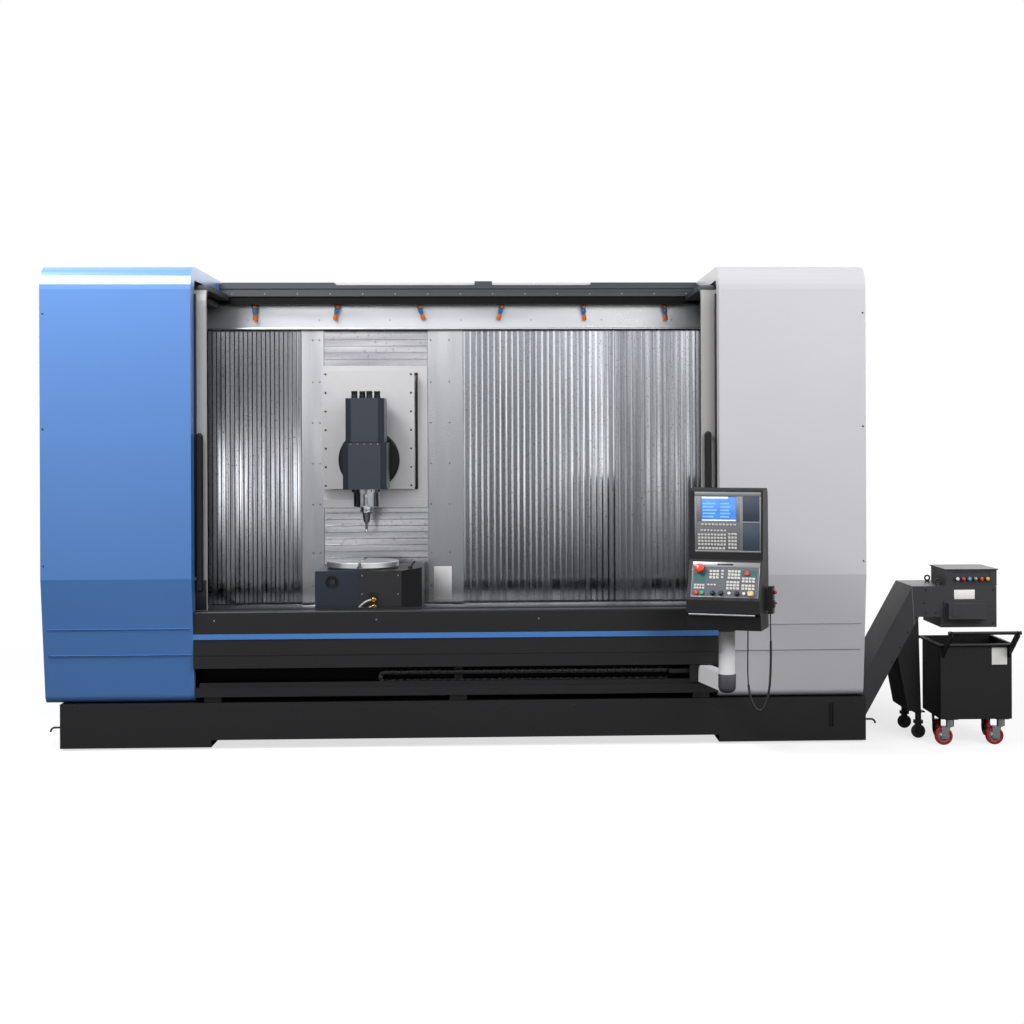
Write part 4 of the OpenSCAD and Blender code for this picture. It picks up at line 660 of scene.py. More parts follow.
    def done(self, finish: Material, body: str, slot: str, replaced: Sequence[str] = (),
             ride: bool = True, crease: float = CREASE) -> Object:
        """Closes the piece, gives it its finish and hangs it on a body.

        Args:
            finish: finish of the whole piece.
            body: body that the piece moves with.
            slot: material slot of the record that the piece belongs to; not used.
            replaced: solids that the piece stands for.
            ride: False for a piece that is hung on no body.
            crease: angle in degrees from which an edge stays sharp.

        Returns:
            The new object.
        """
        limit = math.radians(crease)
        bmesh.ops.recalc_face_normals(self.bm, faces=self.bm.faces)
        self.bm.normal_update()
        for face in self.bm.faces:
            face.smooth = True
        for edge in self.bm.edges:
            edge.smooth = len(edge.link_faces) != 2 or edge.calc_face_angle(0.0) < limit
        mesh = bpy.data.meshes.new(self.name)
        self.bm.to_mesh(mesh)
        self.bm.free()
        mesh.materials.append(finish.build())
        obj = bpy.data.objects.new(self.name, mesh)
        bpy.context.scene.collection.objects.link(obj)
        if ride:
            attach(obj, body)
        if replaced:
            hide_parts(*replaced)
        LOG.info("piece %s on %s, %d faces", self.name, body, len(mesh.polygons))
        return obj


def dress(finish: Material, nodes: Iterable[str], soften: float = 0.0) -> None:
    """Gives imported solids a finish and, where asked, broken edges.

    Args:
        finish: finish of the solids.
        nodes: names of the solids.
        soften: width of the broken edges.
    """
    for name in nodes:
        solid = frame["nodes"][name]
        if not solid.material_slots:
            solid.data.materials.append(None)
        for place in solid.material_slots:
            place.material = finish.build()
        if soften > 0.0:
            edge = solid.modifiers.new("broken_edges", "BEVEL")
            edge.width = soften
            edge.segments = 2
            edge.limit_method = "ANGLE"
            edge.angle_limit = math.radians(BREAK_ANGLE)
            edge.harden_normals = False
        LOG.info("solid %s in %s", name, finish.name)


class Join(Enum):
    """How several levels of light become one."""

    BRIGHTEST = "MAXIMUM"
    PRODUCT = "MULTIPLY"


def joined(tree: Tree, how: Join, levels: Sequence[Socket]) -> Socket:
    """Joins several levels of light into one.

    Args:
        tree: node tree of the surroundings.
        how: the way they are joined.
        levels: sockets with the levels.

    Returns:
        The socket with the result.
    """
    result = levels[0]
    for level in levels[1:]:
        result = add(tree, "Math", {"operation": how.value}, {}, {0: result, 1: level}).outputs[0]
    return result


@dataclass(frozen=True)
class Slope:
    """How light changes along one direction of the room: a step, or a band about a middle."""

    span: Pair
    levels: Pair
    middle: Optional[float] = None

    def draw(self, tree: Tree, way: Socket) -> Socket:
        """Adds the change.

        Args:
            tree: node tree of the surroundings.
            way: one part of a ray's direction.

        Returns:
            The socket with the level.
        """
        if self.middle is not None:
            off = add(tree, "Math", {"operation": "SUBTRACT"}, {1: self.middle}, {0: way})
            way = add(tree, "Math", {"operation": "ABSOLUTE"}, {}, {0: off.outputs[0]}).outputs[0]
        return add(tree, "MapRange", {"interpolation_type": "SMOOTHSTEP"},
                   {"From Min": self.span[0], "From Max": self.span[1],
                    "To Min": self.levels[0], "To Max": self.levels[1]},
                   {"Value": way}).outputs["Result"]


@dataclass(frozen=True)
class Bay:
    """A bright bay of the room: each factor of its level is the brightest of some slopes."""

    across: tuple[tuple[Slope, ...], ...]
    up: tuple[tuple[Slope, ...], ...]
    strength: float = 1.0

    def draw(self, tree: Tree, across: Socket, up: Socket) -> Socket:
        """Adds the bay's level.

        Args:
            tree: node tree of the surroundings.
            across: X part of a ray's direction.
            up: Z part of a ray's direction.

        Returns:
            The socket with the level.
        """
        factors = [joined(tree, Join.BRIGHTEST, [slope.draw(tree, way) for slope in slopes])
                   for way, sides in ((across, self.across), (up, self.up)) for slopes in sides]
        level = joined(tree, Join.PRODUCT, factors)
        return add(tree, "Math", {"operation": "MULTIPLY"}, {1: self.strength},
                   {0: level}).outputs[0]


# Slopes that several bays share: the left part ends at the column, the right one is a band
LEFT_PART = Slope((-0.081, -0.073), (1.0, 0.0))
RIGHT_PART = Slope((0.060, 0.080), (1.0, 0.0), 0.135)
HIGH_PART = Slope((0.026, 0.042), (0.0, 1.0))

# What polished steel shows of the dim room in front of the machine
ROOM = (
    # Low row of lamps, and the glow above it, in the right wall
    Bay(((RIGHT_PART,),), ((Slope((0.008, 0.030), (2.9, 0.0), -0.026),),)),
    Bay(((Slope((0.12, 0.17), (0.1, 1.0)),), (RIGHT_PART,)),
        ((Slope((0.0, 0.065), (0.02, 0.6)),),)),
    # Tall window with a bright edge, in the left wall
    Bay(((Slope((-0.19, -0.11), (0.06, 0.6)), Slope((0.010, 0.022), (1.0, 0.0), -0.096)),
         (LEFT_PART,)),
        ((HIGH_PART, Slope((-0.085, -0.020), (0.03, 0.45)),
          Slope((0.010, 0.034), (0.8, 0.0), -0.012)),), 2.5),
    # Gallery over the window
    Bay(((LEFT_PART,),), ((HIGH_PART,),), 0.55),
    # Faint patch low beside the column
    Bay(((Slope((0.020, 0.032), (1.0, 0.0), -0.055),),),
        ((Slope((0.016, 0.026), (1.0, 0.0), -0.064),),), 0.35),
    # Left and right ends of the room
    Bay(((Slope((-0.23, -0.20), (1.4, 0.0)), Slope((0.205, 0.230), (0.0, 2.1))),),
        ((Slope((-0.085, -0.015), (0.05, 1.0)),),)),
    # Row of ceiling lamps
    Bay((), ((Slope((0.072, 0.096), (1.45, 0.0), 0.160),),)),
    # Bright board, in the column's front panel
    Bay(((Slope((0.016, 0.024), (1.0, 0.0), -0.032),),), ((Slope((0.0, 0.080), (0.38, 1.6)),),)),
)


@dataclass
class Studio:
    """Camera of the photograph, soft light, white surroundings and a pale floor."""

    eye: Point = (0.302, -12.650, 2.175)
    yaw: float = 2.1
    roll: float = -0.23
    focal_px: float = 1571.0
    centre_px: Pair = (557.6, 438.0)
    image_px: float = 1024.0
    sensor: float = 36.0
    sight: float = 200.0
    floor_size: float = 25.0
    shadow_reach: Pair = (3.4, 6.5)
    shadow_white: Pair = (0.70, 1.0)
    floor_shades: Pair = (0.10, 0.92)
    dim: float = 0.03
    behind: Slope = Slope((-0.1, 0.3), (0.0, 1.0))
    daylight: Slope = Slope((-0.3, 0.6), (0.05, 0.35))

    def build(self) -> None:
        """Makes the camera, the lamps, the surroundings and the floor."""
        self.camera()
        self.lamp("key_light", (-3.6, -3.9, 6.4), (-1.8, -1.6, 2.0), (4.0, 2.0), 560.0)
        fill = self.lamp("fill_light", (5.2, -7.6, 5.3), (1.2, -1.4, 1.8), (5.0, 3.0), 560.0)
        rear = self.lamp("rear_light", (1.5, 8.6, 5.4), (0.0, 1.65, 1.5), (5.0, 3.0), 520.0)
        fill.visible_glossy = rear.visible_glossy = False
        self.surroundings()
        self.floor()
        bpy.context.scene.view_settings.view_transform = "Standard"

    def camera(self) -> None:
        """Places the camera with the photograph's own point of view and framing."""
        data = bpy.data.cameras.new("photo_camera")
        data.sensor_width = self.sensor
        data.lens = self.focal_px / self.image_px * data.sensor_width
        data.shift_x = (self.image_px / 2 - self.centre_px[0]) / self.image_px
        data.shift_y = (self.centre_px[1] - self.image_px / 2) / self.image_px
        data.clip_end = self.sight
        camera = bpy.data.objects.new("photo_camera", data)
        turn = (Matrix.Rotation(-math.radians(self.yaw), 4, "Z")
                @ Matrix.Rotation(math.pi / 2, 4, "X")
                @ Matrix.Rotation(math.radians(self.roll), 4, "Z"))
        camera.matrix_world = Matrix.Translation(self.eye) @ turn
        bpy.context.scene.collection.objects.link(camera)
        bpy.context.scene.camera = camera

    def lamp(self, name: str, at: Point, aim: Point, size: Pair, watts: float) -> Object:
        """Adds one large soft lamp.

        Args:
            name: name of the lamp.
            at: place of the lamp.
            aim: point that it shines at.
            size: width and height of its rectangle.
            watts: power of the lamp.

        Returns:
            The lamp.
        """
        data = bpy.data.lights.new(name, "AREA")
        data.shape = "RECTANGLE"
        data.size, data.size_y = size
        data.energy = watts
        lamp = bpy.data.objects.new(name, data)
        lamp.location = at
        lamp.rotation_euler = (Vector(aim) - Vector(at)).to_track_quat("-Z", "Y").to_euler()
        lamp.visible_camera = False
        bpy.context.scene.collection.objects.link(lamp)
        return lamp

    def surroundings(self) -> None:
        """Makes white surroundings, with a dim room in front of the machine for metal to show."""
        world = bpy.data.worlds.new("studio_white")
        world.use_nodes = True
        tree = world.node_tree
        tree.nodes.clear()
        rays = add(tree, "LightPath").outputs
        way = add(tree, "SeparateXYZ", {}, {},
                  {"Vector": add(tree, "TexCoord").outputs["Generated"]}).outputs
        bays = [bay.draw(tree, way["X"], way["Z"]) for bay in ROOM]
        front = add(tree, "Math", {"operation": "ADD"}, {1: self.dim},
                    {0: joined(tree, Join.BRIGHTEST, bays)}).outputs[0]
        mirrored = joined(tree, Join.BRIGHTEST, [self.behind.draw(tree, way["Y"]), front])
        soft = self.daylight.draw(tree, way["Z"])
        glossy = add(tree, "Mix", {}, {}, {0: rays["Is Glossy Ray"], 2: soft, 3: mirrored})
        seen = joined(tree, Join.BRIGHTEST, [rays["Is Camera Ray"], rays["Is Transmission Ray"]])
        level = add(tree, "Mix", {}, {3: 1.0}, {0: seen, 2: glossy.outputs[0]})
        back = add(tree, "Background", {}, {"Color": WHITE}, {"Strength": level.outputs[0]})
        add(tree, "OutputWorld", {}, {}, {"Surface": back.outputs["Background"]})
        bpy.context.scene.world = world

    def floor(self) -> None:
        """Lays a pale floor that keeps the machine's shadow."""
        mesh = bpy.data.meshes.new("studio_floor")
        half = self.floor_size / 2
        corners = [(-half, -half, 0.0), (half, -half, 0.0), (half, half, 0.0), (-half, half, 0.0)]
        mesh.from_pydata(corners, [], [(0, 1, 2, 3)])
        obj = bpy.data.objects.new("studio_floor", mesh)
        bpy.context.scene.collection.objects.link(obj)
        material = bpy.data.materials.new("studio_floor_white")
        material.use_nodes = True
        tree = material.node_tree
        tree.nodes.clear()
        seen = add(tree, "LightPath").outputs["Is Camera Ray"]
        reach = add(tree, "VectorMath", {"operation": "LENGTH"}, {},
                    {0: add(tree, "TexCoord").outputs["Object"]})
        far = add(tree, "MapRange", {},
                  {"From Min": self.shadow_reach[0], "From Max": self.shadow_reach[1],
                   "To Min": self.shadow_white[0], "To Max": self.shadow_white[1]},
                  {"Value": reach.outputs["Value"]})
        share = add(tree, "Math", {"operation": "MULTIPLY"}, {},
                    {0: far.outputs["Result"], 1: seen})
        shade = add(tree, "MapRange", {},
                    {"To Min": self.floor_shades[0], "To Max": self.floor_shades[1]},
                    {"Value": seen})
        matt = add(tree, "BsdfDiffuse", {}, {}, {"Color": shade.outputs["Result"]})
        white = add(tree, "Emission", {}, {"Color": WHITE, "Strength": 1.0})
        mixed = add(tree, "MixShader", {}, {},
                    {0: share.outputs[0], 1: matt.outputs["BSDF"], 2: white.outputs["Emission"]})
        add(tree, "OutputMaterial", {}, {}, {"Surface": mixed.outputs["Shader"]})
        mesh.materials.append(material)


@dataclass(frozen=True)
class UprightWall:
    """One wall of upright slats: its ends on the machine's side and the column, and its slats."""

    name: str
    fixed: float
    moving: float
    pitch: float
    lip: float
    fall: float


@dataclass(frozen=True)
class SaddleCover:
    """One cover of level slats: its ends on the column and the saddle, and its slats' lean."""

    name: str
    fixed: float
    moving: float
    upper: bool
    lean: float


@dataclass
class SlatWalls:
    """Steel slat covers: upright slats beside the column, level ones over and under the saddle."""

    face: float = FRONT + 1.400
    thickness: float = 0.016
    bottom: float = 0.885
    top: float = 3.212
    middle_z: float = 2.0
    walls: tuple[UprightWall, ...] = (
        UprightWall("left_slat_wall", -2.853, -1.2495, 0.035, 0.008, 0.149),
        UprightWall("right_slat_wall", 2.853, 0.0115, 0.047, 0.016, 0.093))
    crown: Point = (11.0, 8.0, 5.0)
    far_crown: Point = (-8.5, -9.5, -10.5)
    far: float = 1.25
    rivet: Profile = ((0.0032, 0.0), (0.0024, 0.0014), (0.0, 0.0018))
    rivet_pitch: float = 0.070
    rivet_seat: float = 0.0012
    rivet_share: float = 0.3
    riveted: int = 3
    covers: tuple[SaddleCover, ...] = (
        SaddleCover("lower_saddle_cover", 0.885, 1.6395, False, 0.0019),
        SaddleCover("upper_saddle_cover", 3.212, 2.7455, True, 0.0013))
    shaft: Pair = (-1.076, -0.266)
    shingle: float = 0.050
    hem: float = 0.006
    hem_out: float = 0.003
    sunk: float = 0.0015
    fold: float = 0.001
    hook: float = 0.012
    hook_to: float = FRONT + 1.440

    def build(self) -> None:
        """Builds the four runs of slats and bakes each one's transform into its mesh."""
        for wall in self.walls:
            piece = self.upright(wall)
            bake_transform(piece)
        for cover in self.covers:
            piece = self.level(cover)
            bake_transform(piece)

    def upright(self, wall: UprightWall) -> Object:
        """Draws a wall of slats, each with a crowned lip and every third with a row of rivets.

        Args:
            wall: the wall's ends and slats.

        Returns:
            The piece, which rides on nothing yet.
        """
        piece = Piece(wall.name)
        count = round(abs(wall.moving - wall.fixed) / wall.pitch)
        step = (wall.moving - wall.fixed) / count
        way = math.copysign(1.0, step)
        line = []
        for i in range(count):
            x = wall.fixed + i * step
            lip = x + step - way * wall.lip
            depth = wall.fall * abs(lip - x)
            line += [(x, 0.0), (lip, depth)]
            crown = self.far_crown if x > self.far else self.crown
            for k, lean in enumerate(crown):
                depth -= wall.lip / len(crown) * math.tan(math.radians(lean))
                line.append((lip + way * wall.lip * (k + 1) / len(crown), depth))
            if i % self.riveted == 1:
                for r in range(int((self.top - self.bottom) / self.rivet_pitch)):
                    at = (x + self.rivet_share * step, self.face + self.rivet_seat,
                          self.bottom + (r + 0.5) * self.rivet_pitch)
                    piece.turned(self.rivet, facing(at, OUT), 6)
        line.append((wall.moving, 0.0))
        outline = [(x, self.face + y, self.bottom) for x, y in line]
        outline += [(x, self.face + self.thickness, self.bottom)
                    for x in (wall.moving, wall.fixed)]
        piece.prism(outline, (0.0, 0.0, self.top - self.bottom))
        return piece.done(Shop.wall, "frame", "stainless", ["x_bellows"], False, SLAT_CREASE)

    def level(self, cover: SaddleCover) -> Object:
        """Draws overlapping level slats between the column's end and the saddle.

        Args:
            cover: the cover's ends and slats.

        Returns:
            The piece, which rides on nothing yet.
        """
        piece = Piece(cover.name)
        low, high = sorted((cover.fixed, cover.moving))
        count = round((high - low) / self.shingle)
        step = (high - low) / count
        line = []
        for i in range(count):
            z = low + i * step
            line += [(z, -self.hem_out), (z + self.hem, -self.hem_out),
                     (z + self.hem + self.fold, self.sunk - cover.lean),
                     (z + step - self.fold, self.sunk)]
        back = self.face + self.thickness
        outline = [(self.shaft[0], self.face + y, z) for z, y in line]
        outline += [(self.shaft[0], back, high), (self.shaft[0], back, low)]
        piece.prism(outline, (self.shaft[1] - self.shaft[0], 0.0, 0.0))
        hook = sorted((cover.fixed, cover.fixed - self.hook if cover.upper
                       else cover.fixed + self.hook))
        piece.block((self.shaft[0], back - self.fold, hook[0]),
                    (self.shaft[1], self.hook_to, hook[1]))
        return piece.done(Shop.cover, "column", "stainless", ["z_bellows"], False, SLAT_CREASE)


@dataclass
class Enclosure:
    """Covers, side panels, apron, sill, roof beam and rear wall."""

    half_open: float = 1.845
    apron: float = FRONT + 0.060
    apron_screw_x: tuple[float, ...] = (-1.70, -0.57, 0.57, 1.70)
    apron_screw_z: float = 0.905
    stripe: Pair = (0.775, 0.812)
    stripe_y: Pair = (-0.0065, -0.0045)
    base: float = FRONT + 0.100
    base_ends: Pair = (-2.780, 2.898)
    base_screw_z: float = 0.282
    screw_inset: float = 0.12
    screw_pitch: float = 0.497
    hook_z: float = 0.155
    hook_back: float = 0.06
    hook_long: float = 0.050
    hook_bend: float = 0.030
    cover_x: Pair = (1.858, 2.852)
    cover_screw_x: float = 2.862
    cover_screw_z: Point = (1.30, 2.25, 3.05)
    seam_z: Pair = (0.853, 0.668)
    seam_lip: Profile = ((0.002, -0.002), (-0.0025, 0.0), (0.002, 0.005))
    lean: Point = (1.205, 0.110, 0.330)
    seal_y: Pair = (FRONT + 0.128, FRONT + 0.156)
    seal_z: Pair = (1.21, 3.20)
    seal_width: float = 0.012
    beam_screw: Point = (-1.75, FRONT + 1.140, 3.290)
    header_screw: Point = (-1.65, FRONT + 1.290, 3.10)

    def build(self) -> None:
        """Dresses the solids and adds seams, seals, stripe, screws and hooks."""
        dress(Shop.blue, ["left_cover"], 0.003)
        dress(Shop.blue_side, ["left_side_panel"], 0.016)
        dress(Shop.grey, ["right_cover", "rear_enclosure"], 0.003)
        dress(Shop.grey, ["right_side_panel"], 0.016)
        dress(Shop.anthracite, ["machine_bed", "front_apron", "door_track", "pendant_rail"], 0.003)
        dress(Shop.beam, ["roof_beam"], 0.002)
        dress(Shop.header, ["header_panel"])
        dress(Shop.pan, ["chip_guard"])
        dress(Shop.ground, ["levelling_pads", "x_rails", "x_screw"])
        dress(Shop.iron, ["work_table"], 0.002)
        # The seam lips are darker copies of the cover paints: painted shade
        self.seams("left_cover_seams", -1.0, Shop.seam_blue_painted_shade, "blue_paint")
        self.seams("right_cover_seams", 1.0, Shop.seam_grey_painted_shade, "grey_paint")
        self.cheek_seals()
        self.apron_stripe()
        self.base_screws()
        self.base_hooks()
        self.small_screws()

    def seams(self, name: str, side: float, finish: Material, slot: str) -> None:
        """Folds the narrow upper lips of a cover's two lower panels.

        Args:
            name: name of the piece.
            side: -1 for the left cover, 1 for the right one.
            finish: finish of the lips.
            slot: material slot of the record.
        """
        piece = Piece(name)
        inner, outer = self.cover_x
        top, back, bottom = self.lean
        for z in self.seam_z:
            y = FRONT + back * (top - z) / (top - bottom)
            piece.prism([(side * inner, y + dy, z + dz) for dy, dz in self.seam_lip],
                        (side * (outer - inner), 0.0, 0.0))
        piece.done(finish, "frame", slot)

    def cheek_seals(self) -> None:
        """Runs a black brush seal down each cover's edge, in front of the doors."""
        piece = Piece("cheek_seals")
        for side in (-1.0, 1.0):
            x0, x1 = sorted((side * self.half_open, side * (self.half_open - self.seal_width)))
            piece.block((x0, self.seal_y[0], self.seal_z[0]), (x1, self.seal_y[1], self.seal_z[1]),
                        0.002)
        piece.done(Shop.rubber, "frame", "black_plastic")

    def apron_stripe(self) -> None:
        """Lays the coloured stripe over its proud band on the apron."""
        piece = Piece("apron_stripe")
        piece.block((-self.half_open, self.apron + self.stripe_y[0], self.stripe[0]),
                    (self.half_open, self.apron + self.stripe_y[1], self.stripe[1]))
        piece.done(Shop.stripe, "frame", "blue_paint")

    def base_screws(self) -> None:
        """Sets a row of screws under the base's top edge."""
        piece = Piece("base_screws")
        first, last = self.base_ends
        count = int((last - first) / self.screw_pitch)
        piece.screws([(first + self.screw_inset + i * self.screw_pitch, self.base,
                       self.base_screw_z) for i in range(count + 1)], OUT, 0.008)
        piece.done(Shop.dark_screw, "frame", "ground_steel")

    def base_hooks(self) -> None:
        """Bends a lifting hook out of each end of the base."""
        piece = Piece("base_hooks")
        y = self.base + self.hook_back
        for side, x in zip((-1.0, 1.0), self.base_ends):
            path = [(x - side * 0.002, y, self.hook_z),
                    (x + side * self.hook_long, y, self.hook_z)]
            for k in range(1, 7):
                angle = math.pi / 2 - k * math.pi / 12
                path.append((x + side * (self.hook_long + self.hook_bend * math.cos(angle)), y,
                             self.hook_z - self.hook_bend + self.hook_bend * math.sin(angle)))
            piece.tube(path, 0.007, 10)
        piece.done(Shop.dark_screw, "frame", "ground_steel")

    def small_screws(self) -> None:
        """Sets the small screws of covers, apron, roof beam and stainless header."""
        covers = Piece("cover_screws")
        covers.screws([(side * self.cover_screw_x, FRONT, z) for side in (-1.0, 1.0)
                       for z in self.cover_screw_z], OUT, 0.006)
        covers.done(Shop.dark_screw, "frame", "ground_steel")
        apron = Piece("apron_screws")
        apron.screws([(x, self.apron, self.apron_screw_z) for x in self.apron_screw_x], OUT, 0.006)
        apron.done(Shop.screw, "frame", "ground_steel")
        beam = Piece("beam_screws")
        for (x, y, z), pitch, count, radius in ((self.beam_screw, 0.25, 15, 0.005),
                                                (self.header_screw, 0.55, 7, 0.006)):
            beam.screws([(x + i * pitch, y, z) for i in range(count)], OUT, radius)
        beam.done(Shop.screw, "frame", "ground_steel")


@dataclass
class Nozzles:
    """Coolant nozzles under the roof beam, each of snapped plastic links."""

    count: int = 6
    reach: float = 1.590
    y: float = FRONT + 1.210
    z: float = 3.212 - 0.022
    tilt: float = 25.0
    sway: float = 20.0
    sway_step: float = 140.0
    foot: Profile = ((0.017, 0.022), (0.0195, 0.010), (0.0195, 0.002), (0.015, -0.005))
    tip: Profile = ((0.011, -0.052), (0.0125, -0.060), (0.0165, -0.076), (0.0175, -0.100),
                    (0.009, -0.100), (0.008, -0.088))
    joint: Profile = ((0.005, 0.012), (0.016, 0.008), (0.0195, 0.0), (0.016, -0.009),
                      (0.0135, -0.013), (0.018, -0.019), (0.018, -0.036), (0.0125, -0.042),
                      (0.015, -0.046), (0.015, -0.052), (0.011, -0.056))

    def build(self) -> None:
        """Builds the links in their two colours."""
        tips, joints = Piece("nozzle_tips"), Piece("nozzle_joints")
        for i in range(self.count):
            foot = Matrix.Translation((-self.reach + 2 * self.reach * i / (self.count - 1),
                                       self.y, self.z))
            sway = math.radians(self.sway * math.sin(math.radians(self.sway_step * i)))
            hanging = (foot @ Matrix.Rotation(sway, 4, "Y")
                       @ Matrix.Rotation(math.radians(self.tilt), 4, "X"))
            tips.turned(self.foot, foot, 20)
            tips.turned(self.tip, hanging, 20)
            joints.turned(self.joint, hanging, 20)
        tips.done(Shop.orange, "frame", "orange_plastic", ["coolant_nozzles"])
        joints.done(Shop.joint_blue, "frame", "orange_plastic")


@dataclass
class ColumnAndHead:
    """Column front, saddle, ram plate, swivel head, spindle and tool."""

    x: float = -0.712
    plate_x: Pair = (-1.074, -0.362)
    plate_y: float = FRONT + 1.235
    plate_z: Pair = (1.785, 2.701)
    plate_inset: float = 0.026
    # The seal's right end lies past the plate's right edge, so its black strip shows as painted
    # shade in the gap
    seal_x: Pair = (-1.012, -0.340)
    seal_y: Pair = (FRONT + 1.325, FRONT + 1.335)
    seal_z: Pair = (1.780, 2.690)
    seal_width: float = 0.018
    seal_start: float = 1.790
    frame_y: float = FRONT + 1.380
    frame_screw_x: tuple[float, ...] = (-1.165, -1.110, -0.240, -0.095)
    frame_screw_z: tuple[float, ...] = (1.02, 1.28, 1.66, 1.98, 2.30, 2.62, 2.95)
    sheet: float = 0.008
    patch: tuple[Pair, Pair] = ((-0.222, -0.082), (0.905, 1.170))
    strip: tuple[Pair, Pair] = ((-0.064, 0.006), (0.905, 3.205))
    head_y: float = FRONT + 0.775
    head_screw_x: tuple[float, ...] = (-0.10, -0.05, 0.0, 0.05, 0.10)
    spindle_y: float = FRONT + 0.980
    split_z: float = 2.151
    head_z: Pair = (1.796, 2.480)
    connector: Profile = ((0.0245, 0.006), (0.0245, 0.022), (0.0225, 0.024), (0.0225, 0.040),
                          (0.0235, 0.042), (0.0235, 0.0545), (0.018, 0.056), (0.0, 0.056))
    port: Profile = ((0.006, -0.002), (0.006, 0.001), (0.0, 0.001))
    port_ring: float = 0.1135
    ports: int = 8

    def build(self) -> None:
        """Dresses the moving axes and adds their screws, seals and connectors."""
        dress(Shop.frame, ["column_frame"], 0.0015)
        dress(Shop.iron, ["column_casting"], 0.004)
        dress(Shop.plate, ["saddle", "ram"], 0.002)
        dress(Shop.black, ["swivel_disc"], 0.002)
        dress(Shop.slate, ["head_housing"], 0.003)
        dress(Shop.nose, ["spindle_nose"], 0.0015)
        dress(Shop.turned, ["spindle_shaft", "cutting_tool"], 0.0008)
        self.plate_screws()
        self.plate_seal_and_gap_shade()
        self.frame_screws()
        self.column_patch()
        self.head_screws()
        self.head_connectors()
        self.nose_ports()

    def plate_screws(self) -> None:
        """Sets the ram plate's countersunk screws."""
        piece = Piece("plate_screws")
        low, high = self.plate_z
        inset = self.plate_inset
        piece.screws([(x, self.plate_y + 0.0015, low + inset + i * (high - low - 2 * inset) / 6)
                      for x in (self.plate_x[0] + inset, self.plate_x[1] - inset)
                      for i in range(7)], OUT, 0.0075)
        piece.done(Shop.dark_screw, "ram", "stainless")

    def plate_seal_and_gap_shade(self) -> None:
        """Runs a black wiper round the ram on the saddle's face; its right strip stands past the
        plate's right edge as a painted shadow in the gap there.
        """
        piece = Piece("plate_seal_and_gap_shade")
        (left, right), (front, back), (low, high) = self.seal_x, self.seal_y, self.seal_z
        wide = self.seal_width
        for x in (left, right - wide):
            piece.block((x, front, self.seal_start), (x + wide, back, high), 0.002)
        for z in (low, high - wide):
            piece.block((left, front, z), (right, back, z + wide), 0.002)
        piece.done(Shop.rubber, "saddle", "casting")

    def frame_screws(self) -> None:
        """Sets pairs of small screws down the column's front panels."""
        piece = Piece("frame_screws")
        piece.screws([(x, self.frame_y + self.sheet, z) for z in self.frame_screw_z
                      for x in self.frame_screw_x], OUT, 0.0055)
        piece.done(Shop.dark_screw, "column", "stainless")

    def column_patch(self) -> None:
        """Fixes the light plate low on the column's right panel, and the strip beside it."""
        piece = Piece("column_patch")
        for ((x0, x1), (z0, z1)), proud in ((self.patch, 0.005), (self.strip, 0.0055)):
            piece.block((x0, self.frame_y + proud, z0), (x1, self.frame_y + self.sheet, z1), 0.001)
        piece.done(Shop.plate, "column", "stainless")

    def head_screws(self) -> None:
        """Sets screws along the head's joint line."""
        piece = Piece("head_screws")
        piece.screws([(self.x + dx, self.head_y, self.split_z - 0.016)
                      for dx in self.head_screw_x], OUT, 0.0045)
        piece.done(Shop.screw, "head", "ground_steel")

    def head_connectors(self) -> None:
        """Puts knurled plug collars on the head's connector stubs."""
        piece = Piece("head_connectors")
        for i in range(4):
            at = (self.x - 0.084 + 0.056 * i, self.spindle_y - 0.060 + 0.040 * (i % 2),
                  self.head_z[1])
            piece.turned(self.connector, Matrix.Translation(at), 24)
        piece.done(Shop.dark_screw, "head", "ground_steel")

    def nose_ports(self) -> None:
        """Drills the coolant ports of the nose flange."""
        piece = Piece("nose_ports")
        for k in range(self.ports):
            angle = 2 * math.pi * (k + 0.5) / self.ports
            across, along = math.cos(angle), math.sin(angle)
            at = (self.x + self.port_ring * across, self.spindle_y + self.port_ring * along,
                  self.head_z[0] - 0.013)
            piece.turned(self.port, facing(at, (across, along, 0.0)), 12)
        piece.done(Shop.dark_screw, "head", "ground_steel")


@dataclass
class RotaryTable:
    """Rotary table with its housing cover, line fittings and hoses."""

    front: float = FRONT + 0.412
    table: float = 0.880
    x: float = -0.720
    screw_x: Pair = (-0.700, -0.440)
    screw_z: Point = (0.915, 1.050, 1.185)
    fitting_x: float = 0.108
    fitting_z: Pair = (0.130, 0.080)
    ring: Profile = ((0.0175, 0.0), (0.0175, 0.006), (0.014, 0.009), (0.0, 0.009))
    ring_out: float = 0.030
    hose_out: float = 0.009
    hose_radius: float = 0.0086

    def build(self) -> None:
        """Dresses housing and disc and adds hoses and screws."""
        dress(Shop.housing, ["rotary_housing"], 0.003)
        dress(Shop.ground, ["rotary_disc"], 0.001)
        dress(Shop.black, ["rotary_fittings"], 0.001)
        self.housing_screws()
        self.hose_sheaths()
        self.fitting_rings()

    def housing_screws(self) -> None:
        """Sets screws down both edges of the housing's cover."""
        piece = Piece("housing_screws")
        piece.screws([(x, self.front, z) for x in self.screw_x for z in self.screw_z], OUT, 0.006)
        piece.done(Shop.screw, "frame", "ground_steel")

    def hose_sheaths(self) -> None:
        """Sleeves the two held hoses in pale tube."""
        piece = Piece("hose_sheaths")
        turns = [math.pi / 2 * k / 12 for k in range(1, 12)]
        for radius in self.fitting_z:
            piece.tube([(self.x + self.fitting_x - radius * math.sin(a),
                         self.front - self.hose_out, self.table + radius * math.cos(a))
                        for a in turns], self.hose_radius, 12)
        piece.done(Shop.hose, "frame", "black_plastic")

    def fitting_rings(self) -> None:
        """Screws a brass ring on each fitting."""
        piece = Piece("fitting_rings")
        for z in self.fitting_z:
            at = (self.x + self.fitting_x, self.front - self.ring_out, self.table + z)
            piece.turned(self.ring, facing(at, OUT), 18)
        piece.done(Shop.brass, "frame", "brass")


